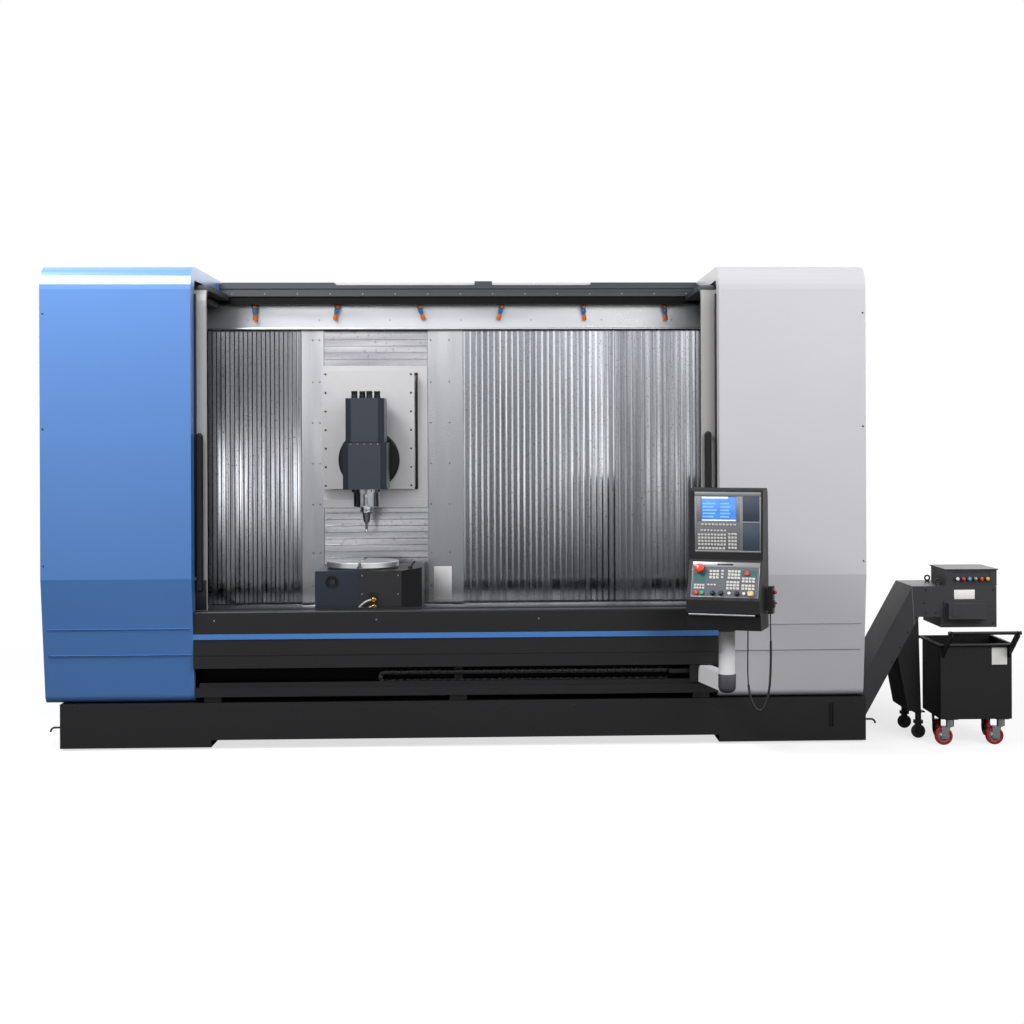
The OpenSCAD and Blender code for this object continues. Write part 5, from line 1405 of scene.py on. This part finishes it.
@dataclass
class Doors:
    """Telescopic doors with stiles, shoes, windows and handles."""

    y: float = FRONT + 0.160
    edges: Pair = (-1.769, 1.741)
    sill: float = 0.968
    shoe_y: Pair = (-0.006, -0.0002)
    shoe_z: Pair = (0.004, 0.215)
    shoe_width: float = 0.155

    def build(self) -> None:
        """Dresses the doors and adds their shoes."""
        dress(Shop.stile, ["left_door", "right_door"], 0.003)
        dress(Shop.black, ["left_inner_door", "right_inner_door"], 0.003)
        dress(Shop.black, ["left_door_handle", "right_door_handle"], 0.005)
        dress(Shop.glass, ["left_door_window", "right_door_window"])
        for body, side, edge in zip(("left_door", "right_door"), (-1.0, 1.0), self.edges):
            self.shoe(body, *sorted((edge, edge + side * self.shoe_width)))

    def shoe(self, body: str, left: float, right: float) -> None:
        """Folds the black guide shoe round the foot of a leading stile.

        Args:
            body: door that it belongs to.
            left: X of its left edge.
            right: X of its right edge.
        """
        piece = Piece(f"{body}_shoe")
        piece.block((left, self.y + self.shoe_y[0], self.sill + self.shoe_z[0]),
                    (right, self.y + self.shoe_y[1], self.sill + self.shoe_z[1]), 0.002)
        piece.done(Shop.black, body, "black_paint")


@dataclass(frozen=True)
class KeyBlock:
    """A block of equal keys on a panel's plane, in millimetres."""

    columns: int
    rows: int
    at: Pair
    pitch: Pair
    size: Pair


@dataclass
class Pendant:
    """Operator pendant: screen unit, operation panel, hand unit, post and cord."""

    post: Pair = (1.841, FRONT - 0.350)
    turn: float = -21.0
    bottom: float = 0.886
    case_x: Pair = (-0.224, 0.276)
    foot: Pair = (-0.226, 1.100)
    head: Pair = (-0.141, 1.341)
    elbow_z: float = 0.437
    elbow_radius: float = 0.059
    elbow_round: float = 0.040
    elbow_shell: float = 0.0012
    elbow_rim: Profile = ((0.0602, 0.124), (0.0585, 0.1285), (0.0562, 0.1285))
    collar: Profile = ((0.0562, -0.030), (0.0605, -0.028), (0.0605, -0.006), (0.0580, -0.002),
                       (0.0562, -0.002))
    rail_x: Pair = (0.014, -0.034)
    rail_yz: Pair = (-0.224, 0.105)
    rail_radius: float = 0.0078
    hand_button: Profile = ((0.0118, 0.0), (0.0118, 0.008), (0.009, 0.011), (0.0, 0.012))
    hand_button_at: Point = (0.059, -0.008, 1.130)
    cord_radius: float = 0.0045
    sleeve_radius: float = 0.0078
    sleeve_from: int = 3
    sleeve_to: int = 14
    route: tuple[Point, ...] = (
        (0.300, -0.001, 0.100), (0.300, -0.001, 0.074), (0.301, -0.001, 0.014),
        (0.302, 0.0, -0.086), (0.302, 0.001, -0.186), (0.299, 0.002, -0.286),
        (0.293, 0.002, -0.386), (0.280, 0.001, -0.471), (0.259, -0.001, -0.534),
        (0.232, -0.006, -0.561), (0.204, -0.012, -0.551), (0.180, -0.017, -0.514),
        (0.162, -0.020, -0.456), (0.152, -0.022, -0.386), (0.148, -0.022, -0.306),
        (0.148, -0.022, -0.226), (0.149, -0.022, -0.146), (0.150, -0.022, -0.066),
        (0.150, -0.022, -0.036), (0.150, -0.022, -0.020))

    screen_y: float = -0.116
    screen_z: float = 1.401
    screen_inset: Pair = (0.031, 0.008)
    screen_size: Pair = (0.455, 0.406)
    screen_top: float = 0.010
    display: tuple[Pair, Pair] = ((0.045, 0.208), (0.288, 0.376))
    lit_z: Pair = (0.006, 0.0064)
    key_height: float = 0.004
    key_round: float = 0.0012
    screen_blocks: tuple[KeyBlock, ...] = (
        KeyBlock(10, 1, (46, 180), (24.5, 0), (17, 12)),
        KeyBlock(8, 1, (40, 140), (23, 0), (15, 11)),
        KeyBlock(9, 4, (24, 44), (22, 22), (15, 14)),
        KeyBlock(3, 5, (232, 22), (21, 23), (15, 15)),
        KeyBlock(8, 1, (24, 18), (24, 0), (18, 14)))

    panel_inset: float = 0.026
    panel_wide: float = 0.460
    panel_long: float = 0.2556
    panel_low: float = 0.008
    panel_skin: float = -0.0002
    band: float = 0.040
    trim: float = 0.004
    stop_hole: float = 0.0148
    panel_blocks: tuple[KeyBlock, ...] = (
        KeyBlock(3, 3, (120, 134), (23, 22), (18, 16)),
        KeyBlock(1, 3, (200, 138), (0, 22), (16, 14)),
        KeyBlock(4, 3, (246, 134), (22, 22), (18, 17)),
        KeyBlock(4, 2, (344, 112), (23, 20), (18, 15)),
        KeyBlock(4, 3, (240, 62), (23, 21), (18, 16)),
        KeyBlock(4, 2, (344, 62), (23, 21), (18, 16)),
        KeyBlock(4, 2, (18, 62), (19, 19), (15, 14)),
        KeyBlock(3, 1, (110, 86), (22, 0), (14, 12)))
    row_y: float = 0.036
    button: Profile = ((0.014, -0.0002), (0.014, 0.008), (0.012, 0.011), (0.0, 0.012))
    wide_button: Profile = ((0.016, -0.0002), (0.016, 0.009), (0.014, 0.0115), (0.0, 0.012))
    light_button: Profile = ((0.011, -0.0002), (0.011, 0.005), (0.009, 0.008), (0.0, 0.008))
    knob: Profile = ((0.017, -0.0002), (0.0175, 0.002), (0.016, 0.004), (0.014, 0.017),
                     (0.012, 0.020), (0.0, 0.020))
    stop_collar: Profile = ((0.0262, -0.0002), (0.0262, 0.004), (0.023, 0.008), (0.0132, 0.008))

    @property
    def place(self) -> Matrix:
        """Transform from the pendant's own frame to the machine's."""
        turn = Matrix.Rotation(math.radians(self.turn), 4, "Z")
        return Matrix.Translation((*self.post, 0.0)) @ turn

    @property
    def panel(self) -> Matrix:
        """Transform from the operation panel's plane to the machine's frame.

        Returns:
            The transform.
        """
        tilt = math.atan2(self.head[0] - self.foot[0], self.head[1] - self.foot[1])
        return (self.place @ Matrix.Translation((0.0, *self.foot))
                @ Matrix.Rotation(math.pi / 2 - tilt, 4, "X"))

    @property
    def screen(self) -> Matrix:
        """Transform from the screen unit's plane to the machine's frame.

        Returns:
            The transform.
        """
        corner = (self.case_x[0] + self.screen_inset[0], self.screen_y + self.screen_inset[1],
                  self.screen_z)
        return self.place @ Matrix.Translation(corner) @ Matrix.Rotation(math.pi / 2, 4, "X")

    @property
    def left(self) -> float:
        """Left edge of the operation panel on its own plane."""
        return self.case_x[0] + self.panel_inset

    def build(self) -> None:
        """Builds the cord first, then the screen unit, the panel and the small fittings."""
        self.cord()
        dress(Shop.black, ["pendant_case"], 0.010)
        dress(Shop.post, ["pendant_arm"], 0.003)
        dress(Shop.plastic, ["hand_unit"], 0.003)
        dress(Shop.stop, ["emergency_stop"])
        dress(Shop.cream, ["feed_knob"], 0.001)
        self.elbow_cap()
        self.post_collar()
        self.screen_unit()
        self.operation_panel()
        self.panel_controls()
        self.hand_rail()
        self.hand_unit_button()

    def cord(self) -> None:
        """Hangs the hand unit's cord in its loop with a thicker sleeve round the bend."""
        drop = Vector((0.0, 0.0, self.bottom))
        points = [self.place @ (Vector(p) + drop) for p in self.route]
        data = bpy.data.curves.new("hand_unit_cord", "CURVE")
        data.dimensions = "3D"
        data.bevel_depth = self.cord_radius
        data.bevel_resolution = 4
        spline = data.splines.new("POLY")
        spline.points.add(len(points) - 1)
        for target, point in zip(spline.points, points):
            target.co = (*point, 1.0)
        cord = bpy.data.objects.new("hand_unit_cord", data)
        bpy.context.scene.collection.objects.link(cord)
        data.materials.append(Shop.cable.build())
        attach(cord, "pendant")
        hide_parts("pendant_cord")
        piece = Piece("cord_sleeve")
        piece.tube(points[self.sleeve_from:self.sleeve_to], self.sleeve_radius, 14)
        sleeve = piece.done(Shop.rubber, "pendant", "cord_rubber")

    def elbow_cap(self) -> None:
        """Moulds the dark cap round the arm's elbow."""
        piece = Piece("elbow_cap")
        shell, bend = self.elbow_shell, self.elbow_round
        turns = [math.pi / 2 * k / 8 for k in range(9)]
        foot = [(self.elbow_radius - bend + (bend + shell) * math.sin(a),
                 bend - (bend + shell) * math.cos(a)) for a in turns]
        piece.turned([(0.0, -shell), *foot, *self.elbow_rim],
                     Matrix.Translation((*self.post, self.elbow_z)), 40)
        piece.done(Shop.cap, "pendant_arm", "black_plastic")

    def post_collar(self) -> None:
        """Turns the bearing collar under the pendant."""
        piece = Piece("post_collar")
        piece.turned(self.collar, Matrix.Translation((*self.post, self.bottom)), 40)
        piece.done(Shop.cap, "pendant_arm", "black_plastic")

    def plates(self, name: str, boxes: Iterable[tuple[Point, Point]], round_by: float,
               place: Matrix, finish: Material, slot: str = "panel_plastic",
               replaced: Sequence[str] = (), body: str = "pendant") -> None:
        """Builds one piece of plates that lie on a panel's plane.

        Args:
            name: name of the piece.
            boxes: lowest and highest corner of each plate.
            round_by: radius of their edges.
            place: transform of the panel.
            finish: finish of the plates.
            slot: material slot of the record.
            replaced: solids that the piece stands for.
            body: body that the piece moves with.
        """
        piece = Piece(name)
        for low, high in boxes:
            piece.block(low, high, round_by, place)
        piece.done(finish, body, slot, replaced)

    def key_caps(self, name: str, blocks: Iterable[KeyBlock], left: float, base: float,
                 place: Matrix) -> None:
        """Builds the key caps of a panel as one piece.

        Args:
            name: name of the piece.
            blocks: blocks of keys.
            left: left edge of the panel in millimetres.
            base: height of the panel's face.
            place: transform of the panel.
        """
        piece = Piece(name)
        for keys in blocks:
            for i in range(keys.columns):
                for k in range(keys.rows):
                    x = (left + keys.at[0] + i * keys.pitch[0]) / 1000
                    y = (keys.at[1] + k * keys.pitch[1]) / 1000
                    far = (x + keys.size[0] / 1000, y + keys.size[1] / 1000, base + self.key_height)
                    piece.block((x, y, base), far, self.key_round, place)
        piece.done(Shop.key, "pendant", "panel_plastic")

    def screen_unit(self) -> None:
        """Builds the bezel, the lit display with plain fields, its keys and two blank plates."""
        place = self.screen
        wide, high = self.screen_size
        top = self.screen_top
        (view_x0, view_z0), (view_x1, view_z1) = self.display
        head = high - 0.030
        bars = (((0.0, 0.0), (wide, 0.012)), ((0.0, head), (wide, high)),
                ((0.0, 0.012), (0.014, head)), ((wide - 0.010, 0.012), (wide, head)),
                ((0.310, 0.012), (0.332, head)), ((0.332, 0.196), (wide - 0.010, 0.208)),
                ((0.014, 0.208), (view_x0, head)), ((view_x1, 0.208), (0.310, head)))
        self.plates("screen_bezel", [((*a, 0.0), (*b, top + 0.001)) for a, b in bars], 0.0012,
                    place, Shop.bezel, replaced=["screen_unit"])
        sunk = top - 0.001
        self.plates("key_field", [((0.014, 0.012, 0.0), (0.310, 0.208, sunk))], 0.001, place,
                    Shop.keyboard)
        self.plates("blank_plates", [((0.332, 0.014, 0.0), (0.445, 0.196, sunk)),
                                     ((0.332, 0.208, 0.0), (0.445, 0.376, sunk))], 0.001, place,
                    Shop.blank)
        glass, lit = self.lit_z
        self.plates("display", [((view_x0, view_z0, 0.0), (view_x1, view_z1, glass))], 0.0005,
                    place, Shop.display)
        self.plates("display_bars", [((0.047, 0.362, glass), (0.230, 0.374, lit)),
                                     ((0.050, 0.212, glass), (0.284, 0.218, lit))], 0.0, place,
                    Shop.display_white)
        fields = []
        for row in range(5):
            low = 0.234 + 0.022 * row
            for x0, x1 in ((0.056, 0.130 + 0.012 * (row % 3)), (0.176, 0.236 + 0.010 * (row % 2))):
                fields.append(((x0, low, glass), (x1, low + 0.009, lit)))
        self.plates("display_fields", fields, 0.0, place, Shop.display_pale)
        self.key_caps("screen_keys", self.screen_blocks, 0.0, top - 0.002, place)

    def operation_panel(self) -> None:
        """Builds the panel's membrane plate, its band, trim, keys and printed fields."""
        place, x0, skin = self.panel, self.left, self.panel_skin
        x1, head = x0 + self.panel_wide, self.panel_long - self.band
        face = Piece("panel_face")
        face.pierced((x0, self.panel_low, -0.006), (x1, head, skin), self.stop_at, self.stop_hole,
                     place)
        face.done(Shop.field, "pendant", "panel_plastic", ["operation_panel"])
        self.plates("panel_band", [((x0, head, -0.006), (x1, self.panel_long - 0.006, 0.0015))],
                    0.001, place, Shop.bezel)
        self.plates("panel_slot", [((x0 + 0.168, self.panel_long - 0.028, 0.001),
                                    (x0 + 0.278, self.panel_long - 0.016, 0.0025))], 0.0008, place,
                    Shop.plastic, "black_plastic")
        rim = self.panel_low + self.trim
        strips = [((x0, self.panel_low, -0.004), (x1, rim, 0.001))]
        strips += [((x, rim, -0.004), (x + self.trim, head, 0.001))
                   for x in (x0, x1 - self.trim)]
        self.plates("panel_trim", strips, 0.0006, place, Shop.bezel)
        self.key_caps("panel_keys", self.panel_blocks, x0 * 1000, skin, place)
        self.plates("panel_patches", [((x0 + 0.014, 0.106, skin), (x0 + 0.092, 0.172, -skin)),
                                      ((x0 + 0.338, 0.152, skin), (x0 + 0.440, 0.196, -skin))],
                    0.0, place, Shop.teal)

    @property
    def stop_at(self) -> Pair:
        """Place of the stop button on the operation panel."""
        return self.case_x[0] + 0.078, self.panel_long - 0.056

    def control(self, x: float, y: float) -> Matrix:
        """Returns the transform of a control at a point of the operation panel."""
        return self.panel @ Matrix.Translation((x, y, 0.0))

    def panel_controls(self) -> None:
        """Sets the operation panel's buttons and fixed knobs and the moving knob's pointer."""
        x0, y = self.left, self.row_y
        start = Piece("start_button")
        start.turned(self.button, self.control(x0 + 0.076, y), 24)
        start.done(Shop.green, "pendant", "panel_plastic")
        reds = Piece("red_buttons")
        reds.turned(self.button, self.control(x0 + 0.038, y), 24)
        reds.turned(self.wide_button, self.control(x0 + 0.376, 0.174), 24)
        reds.done(Shop.red, "pendant", "stop_red")
        knobs = Piece("panel_knobs")
        for x in (0.150, 0.206, 0.316):
            knobs.turned(self.knob, self.control(x0 + x, y), 24)
            knobs.block((x0 + x - 0.003, 0.022, 0.010), (x0 + x + 0.003, 0.050, 0.0225), 0.001,
                        self.panel)
        knobs.turned(self.stop_collar, self.control(*self.stop_at), 32)
        knobs.done(Shop.plastic, "pendant", "black_plastic")
        lights = Piece("light_buttons")
        for x in (0.262, 0.362):
            lights.turned(self.light_button, self.control(x0 + x, y), 24)
        lights.done(Shop.white, "pendant", "panel_plastic")
        x = self.case_x[1] - 0.066
        pointer = ((x - 0.0015, y + 0.004, 0.0223), (x + 0.0015, y + 0.017, 0.0232))
        self.plates("knob_pointer", [pointer], 0.0003, self.panel, Shop.plastic, "black_plastic",
                    body="feed_knob")

    def hand_rail(self) -> None:
        """Draws the polished hand rail over its holder."""
        piece = Piece("hand_rail")
        y, z = self.rail_yz
        ends = (self.case_x[0] + self.rail_x[0], 0.0, self.case_x[1] + self.rail_x[1])
        piece.tube([self.place @ Vector((x, y, self.bottom + z)) for x in ends],
                   self.rail_radius, 20)
        piece.done(Shop.ground, "pendant", "ground_steel")

    def hand_unit_button(self) -> None:
        """Sets the red button of the hand unit."""
        piece = Piece("hand_unit_button")
        dx, y, z = self.hand_button_at
        at = self.place @ Vector((self.case_x[1] + dx, y, z))
        out = self.place.to_3x3() @ Vector((1.0, 0.0, 0.0))
        piece.turned(self.hand_button, facing(tuple(at), tuple(out)), 20)
        piece.done(Shop.red, "pendant", "stop_red")


@dataclass
class CableChain:
    """Cable chain of the pendant: hinged links on the ledge, round a bend and back."""

    y: Pair = (FRONT + 0.200, FRONT + 0.262)
    low: float = 0.4295
    high: float = 0.527
    thick: float = 0.030
    left: float = -0.520
    right: float = 1.500
    link: float = 0.055
    cheek: float = 0.007
    cheek_half: float = 0.014
    bar_half: float = 0.016
    bar_z: Pair = (0.009, 0.0135)
    bend_links: int = 3
    bend_scale: Point = (0.75, 1.0, 0.9)
    far_off: float = 40.0

    def build(self) -> None:
        """Builds both runs and the bend, and bakes each one's transform into its mesh."""
        lower = self.run("chain_lower_run", self.low)
        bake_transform(lower)
        upper = self.run("chain_upper_run", self.high - self.thick)
        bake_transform(upper)
        bend = self.bend()
        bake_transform(bend)

    def add_link(self, piece: Piece, place: Matrix) -> None:
        """Adds one link, centred on its own origin with its length along local X.

        Args:
            piece: run that receives the link.
            place: transform of the link.
        """
        half, wide = self.link / 2 - 0.001, (self.y[1] - self.y[0]) / 2
        for side in (-1.0, 1.0):
            y0, y1 = sorted((side * wide, side * (wide - self.cheek)))
            piece.block((-half, y0, -self.cheek_half), (half, y1, self.cheek_half), 0.003, place)
        inner, (low, high) = wide - 0.004, self.bar_z
        for z0, z1 in ((low, high), (-high, -low)):
            piece.block((-self.bar_half, -inner, z0), (self.bar_half, inner, z1), 0.001, place)

    def run(self, name: str, base: float) -> Object:
        """Lays links in a straight run.

        Args:
            name: name of the run.
            base: height of its underside.

        Returns:
            The run, which rides on nothing yet.
        """
        piece = Piece(name)
        count = round((self.right - self.left) / self.link)
        step = (self.right - self.left) / count
        for i in range(count):
            at = (self.left + (i + 0.5) * step, sum(self.y) / 2, base + self.thick / 2)
            self.add_link(piece, Matrix.Translation(at))
        return piece.done(Shop.cap, "frame", "black_plastic", ["cable_chain"], False)

    def bend(self) -> Object:
        """Lays links round the bend.

        Returns:
            The bend, which rides on nothing yet.
        """
        piece = Piece("chain_bend")
        radius = (self.high - self.low - self.thick) / 2
        middle = (self.low + self.high) / 2
        for k in range(self.bend_links):
            angle = math.pi / 2 + math.pi * (k + 0.5) / self.bend_links
            at = (self.left + radius * math.cos(angle), sum(self.y) / 2,
                  middle + radius * math.sin(angle))
            self.add_link(piece, Matrix.Translation(at)
                          @ Matrix.Rotation(-(angle + math.pi / 2), 4, "Y")
                          @ Matrix.Diagonal((*self.bend_scale, 1.0)))
        return piece.done(Shop.cap, "frame", "black_plastic", ["cable_chain"], False)


@dataclass
class Conveyor:
    """Chip conveyor with its control box, gear cover and stand."""

    side: float = FRONT + 0.200
    box_y: float = FRONT + 0.220
    button_x: float = 3.514 + 0.078
    button_z: float = 1.098 + 0.050
    button_pitch: float = 0.044
    button_out: float = 0.0155
    button: Profile = ((0.0125, 0.0), (0.0125, 0.008), (0.010, 0.011), (0.0, 0.012))
    collar: Profile = ((0.0165, 0.0), (0.0165, 0.006), (0.0155, 0.008), (0.0152, 0.008))
    collar_in: float = 0.006
    plate: tuple[Pair, Pair] = ((3.565, 3.715), (1.003, 1.070))
    angle: float = 61.0
    bend_x: float = 2.868
    run_z: float = 0.080
    bolt_inset: float = 0.016
    bolt_z: float = 0.45
    bolt_pitch: float = 0.105
    head_bolts: Profile = ((3.36, 0.905), (3.43, 0.905), (3.36, 1.07), (3.85, 0.83), (3.85, 1.07),
                           (3.49, 0.83))
    weld_ends: Profile = ((3.258, 1.092), (3.274, 0.826))
    weld_radius: float = 0.0026
    weld_ripple: float = 0.0008

    def build(self) -> None:
        """Dresses the conveyor and adds buttons, bolts, weld and the bare plate."""
        dress(Shop.charcoal, ["conveyor_housing", "conveyor_gear_cover", "conveyor_control_box"],
              0.003)
        dress(Shop.black, ["conveyor_stand"], 0.003)
        dress(Shop.rubber, ["stand_wheels"], 0.002)
        dress(Shop.ground, ["conveyor_belt"])
        self.control_buttons()
        self.bare_plate()
        self.conveyor_bolts()
        self.head_weld()

    def control_buttons(self) -> None:
        """Sets the row of buttons on the control box, with bright collars behind them."""
        colours = {"white": Shop.white, "red": Shop.red, "blue": Shop.sky, "grey": Shop.screw,
                   "signal": Shop.stop, "yellow": Shop.yellow}
        collars = Piece("control_collars")
        for i, (name, finish) in enumerate(colours.items()):
            x = self.button_x + self.button_pitch * i
            button = Piece(f"control_{name}")
            button.turned(self.button,
                          facing((x, self.box_y - self.button_out, self.button_z), OUT), 24)
            button.done(finish, "frame", "stop_red")
            collars.turned(self.collar,
                           facing((x, self.box_y + self.collar_in, self.button_z), OUT), 24)
        collars.done(Shop.screw, "frame", "ground_steel")

    def bare_plate(self) -> None:
        """Fixes a bare plate to the head's side."""
        piece = Piece("bare_plate")
        (x0, x1), (z0, z1) = self.plate
        piece.block((x0, self.side - 0.0015, z0), (x1, self.side, z1), 0.0006)
        piece.done(Shop.label, "frame", "grey_paint")

    def rise(self, z: float) -> float:
        """Returns the X place of a bolt at a height along the rising underside."""
        slope = math.radians(self.angle)
        return self.bend_x + (z - self.run_z) / math.tan(slope) - self.bolt_inset / math.sin(slope)

    def conveyor_bolts(self) -> None:
        """Sets bolts along the rising part's edge and on the head."""
        piece = Piece("conveyor_bolts")
        heights = [self.bolt_z + self.bolt_pitch * i for i in range(6)]
        piece.screws([(self.rise(z), self.side, z) for z in heights]
                     + [(x, self.side, z) for x, z in self.head_bolts], OUT, 0.007)
        piece.done(Shop.dark_screw, "frame", "ground_steel")

    def head_weld(self) -> None:
        """Lays the painted weld where the rising part's side meets the head's."""
        piece = Piece("head_weld")
        first, last = [Vector((x, self.side, z)) for x, z in self.weld_ends]
        beads = 24
        piece.tube([first.lerp(last, k / beads)
                    + Vector((self.weld_ripple * math.sin(2.1 * k), 0.0, 0.0))
                    for k in range(beads + 1)], self.weld_radius, 8)
        piece.done(Shop.weld, "frame", "black_paint")


@dataclass
class ChipBin:
    """Wheeled chip bin with red-treaded castors."""

    x: Pair = (3.384, 3.888)
    y: float = FRONT - 0.090
    wheel_z: float = 0.0625
    castors: Pair = (3.468, 3.830)
    castor_y: float = FRONT - 0.020
    rear_y: float = FRONT + 0.320
    trail: float = 0.046
    dish: Profile = ((0.0425, 0.0115), (0.040, 0.0135), (0.030, 0.0130), (0.022, 0.0165),
                     (0.0208, 0.0180))
    bar: Pair = (FRONT - 0.290, 0.818)
    cap: Profile = ((0.0122, -0.010), (0.0135, -0.008), (0.0135, 0.002), (0.010, 0.004),
                    (0.0, 0.004))
    fin: float = 0.014
    fin_bolt: Pair = (0.045, -0.008)
    plate_x: Pair = (-0.142, -0.034)
    plate_z: Pair = (0.572, 0.692)

    def build(self) -> None:
        """Dresses the bin and adds wheel centres, handle caps, bolts and a bare plate."""
        dress(Shop.black, ["bin_body"], 0.002)
        dress(Shop.fork, ["bin_left_fork", "bin_right_fork"], 0.0015)
        dress(Shop.tread, ["bin_left_wheel", "bin_right_wheel", "bin_rear_wheels"], 0.001)
        for side, x in zip(("left", "right"), self.castors):
            self.wheel_centres(f"{side}_wheel_centre", f"bin_{side}_wheel",
                               [(x - self.trail, self.castor_y, self.wheel_z)], (0.0, 1.0, 0.0))
        self.wheel_centres("rear_wheel_centres", "bin_rear_axle",
                           [(x, self.rear_y, self.wheel_z) for x in self.castors], (1.0, 0.0, 0.0))
        self.handle_caps()
        self.bare_plate()
        self.fin_bolts()

    def wheel_centres(self, name: str, body: str, places: Iterable[Point], along: Point) -> None:
        """Adds the bright dished centre to both sides of wheels.

        Args:
            name: name of the piece.
            body: body that the wheels turn with.
            places: middles of the wheels.
            along: direction of their axle.
        """
        piece = Piece(name)
        for at in places:
            for side in (-1.0, 1.0):
                piece.turned(self.dish, facing(at, tuple(side * c for c in along)), 32)
        piece.done(Shop.fork, body, "ground_steel")

    def handle_caps(self) -> None:
        """Plugs the ends of the push handle."""
        piece = Piece("handle_caps")
        for x, way in zip(self.x, (-1.0, 1.0)):
            piece.turned(self.cap, facing((x, *self.bar), (way, 0.0, 0.0)), 24)
        piece.done(Shop.plastic, "bin", "black_plastic")

    def bare_plate(self) -> None:
        """Fixes a bare plate to the front, high on the right."""
        piece = Piece("bin_bare_plate")
        right = self.x[1]
        piece.block((right + self.plate_x[0], self.y - 0.0012, self.plate_z[0]),
                    (right + self.plate_x[1], self.y, self.plate_z[1]), 0.0005)
        piece.done(Shop.label, "bin", "grey_paint")

    def fin_bolts(self) -> None:
        """Sets the bolts that hold the handle's bar to its fins."""
        piece = Piece("fin_bolts")
        y, z = self.bar[0] + self.fin_bolt[0], self.bar[1] + self.fin_bolt[1]
        for x, way in zip(self.x, (-1.0, 1.0)):
            piece.screws([(x - way * self.fin, y, z)], (way, 0.0, 0.0), 0.006)
        piece.done(Shop.screw, "bin", "ground_steel")


def main() -> None:
    """Builds the studio and every sub-assembly in order."""
    logging.basicConfig(level=logging.INFO)
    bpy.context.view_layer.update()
    for assembly in (Studio(), Pendant(), SlatWalls(), Enclosure(), Nozzles(), ColumnAndHead(),
                     RotaryTable(), Doors(), CableChain(), Conveyor(), ChipBin()):
        assembly.build()
        LOG.info("built %s", type(assembly).__name__)


if __name__ == "__main__":
    main()
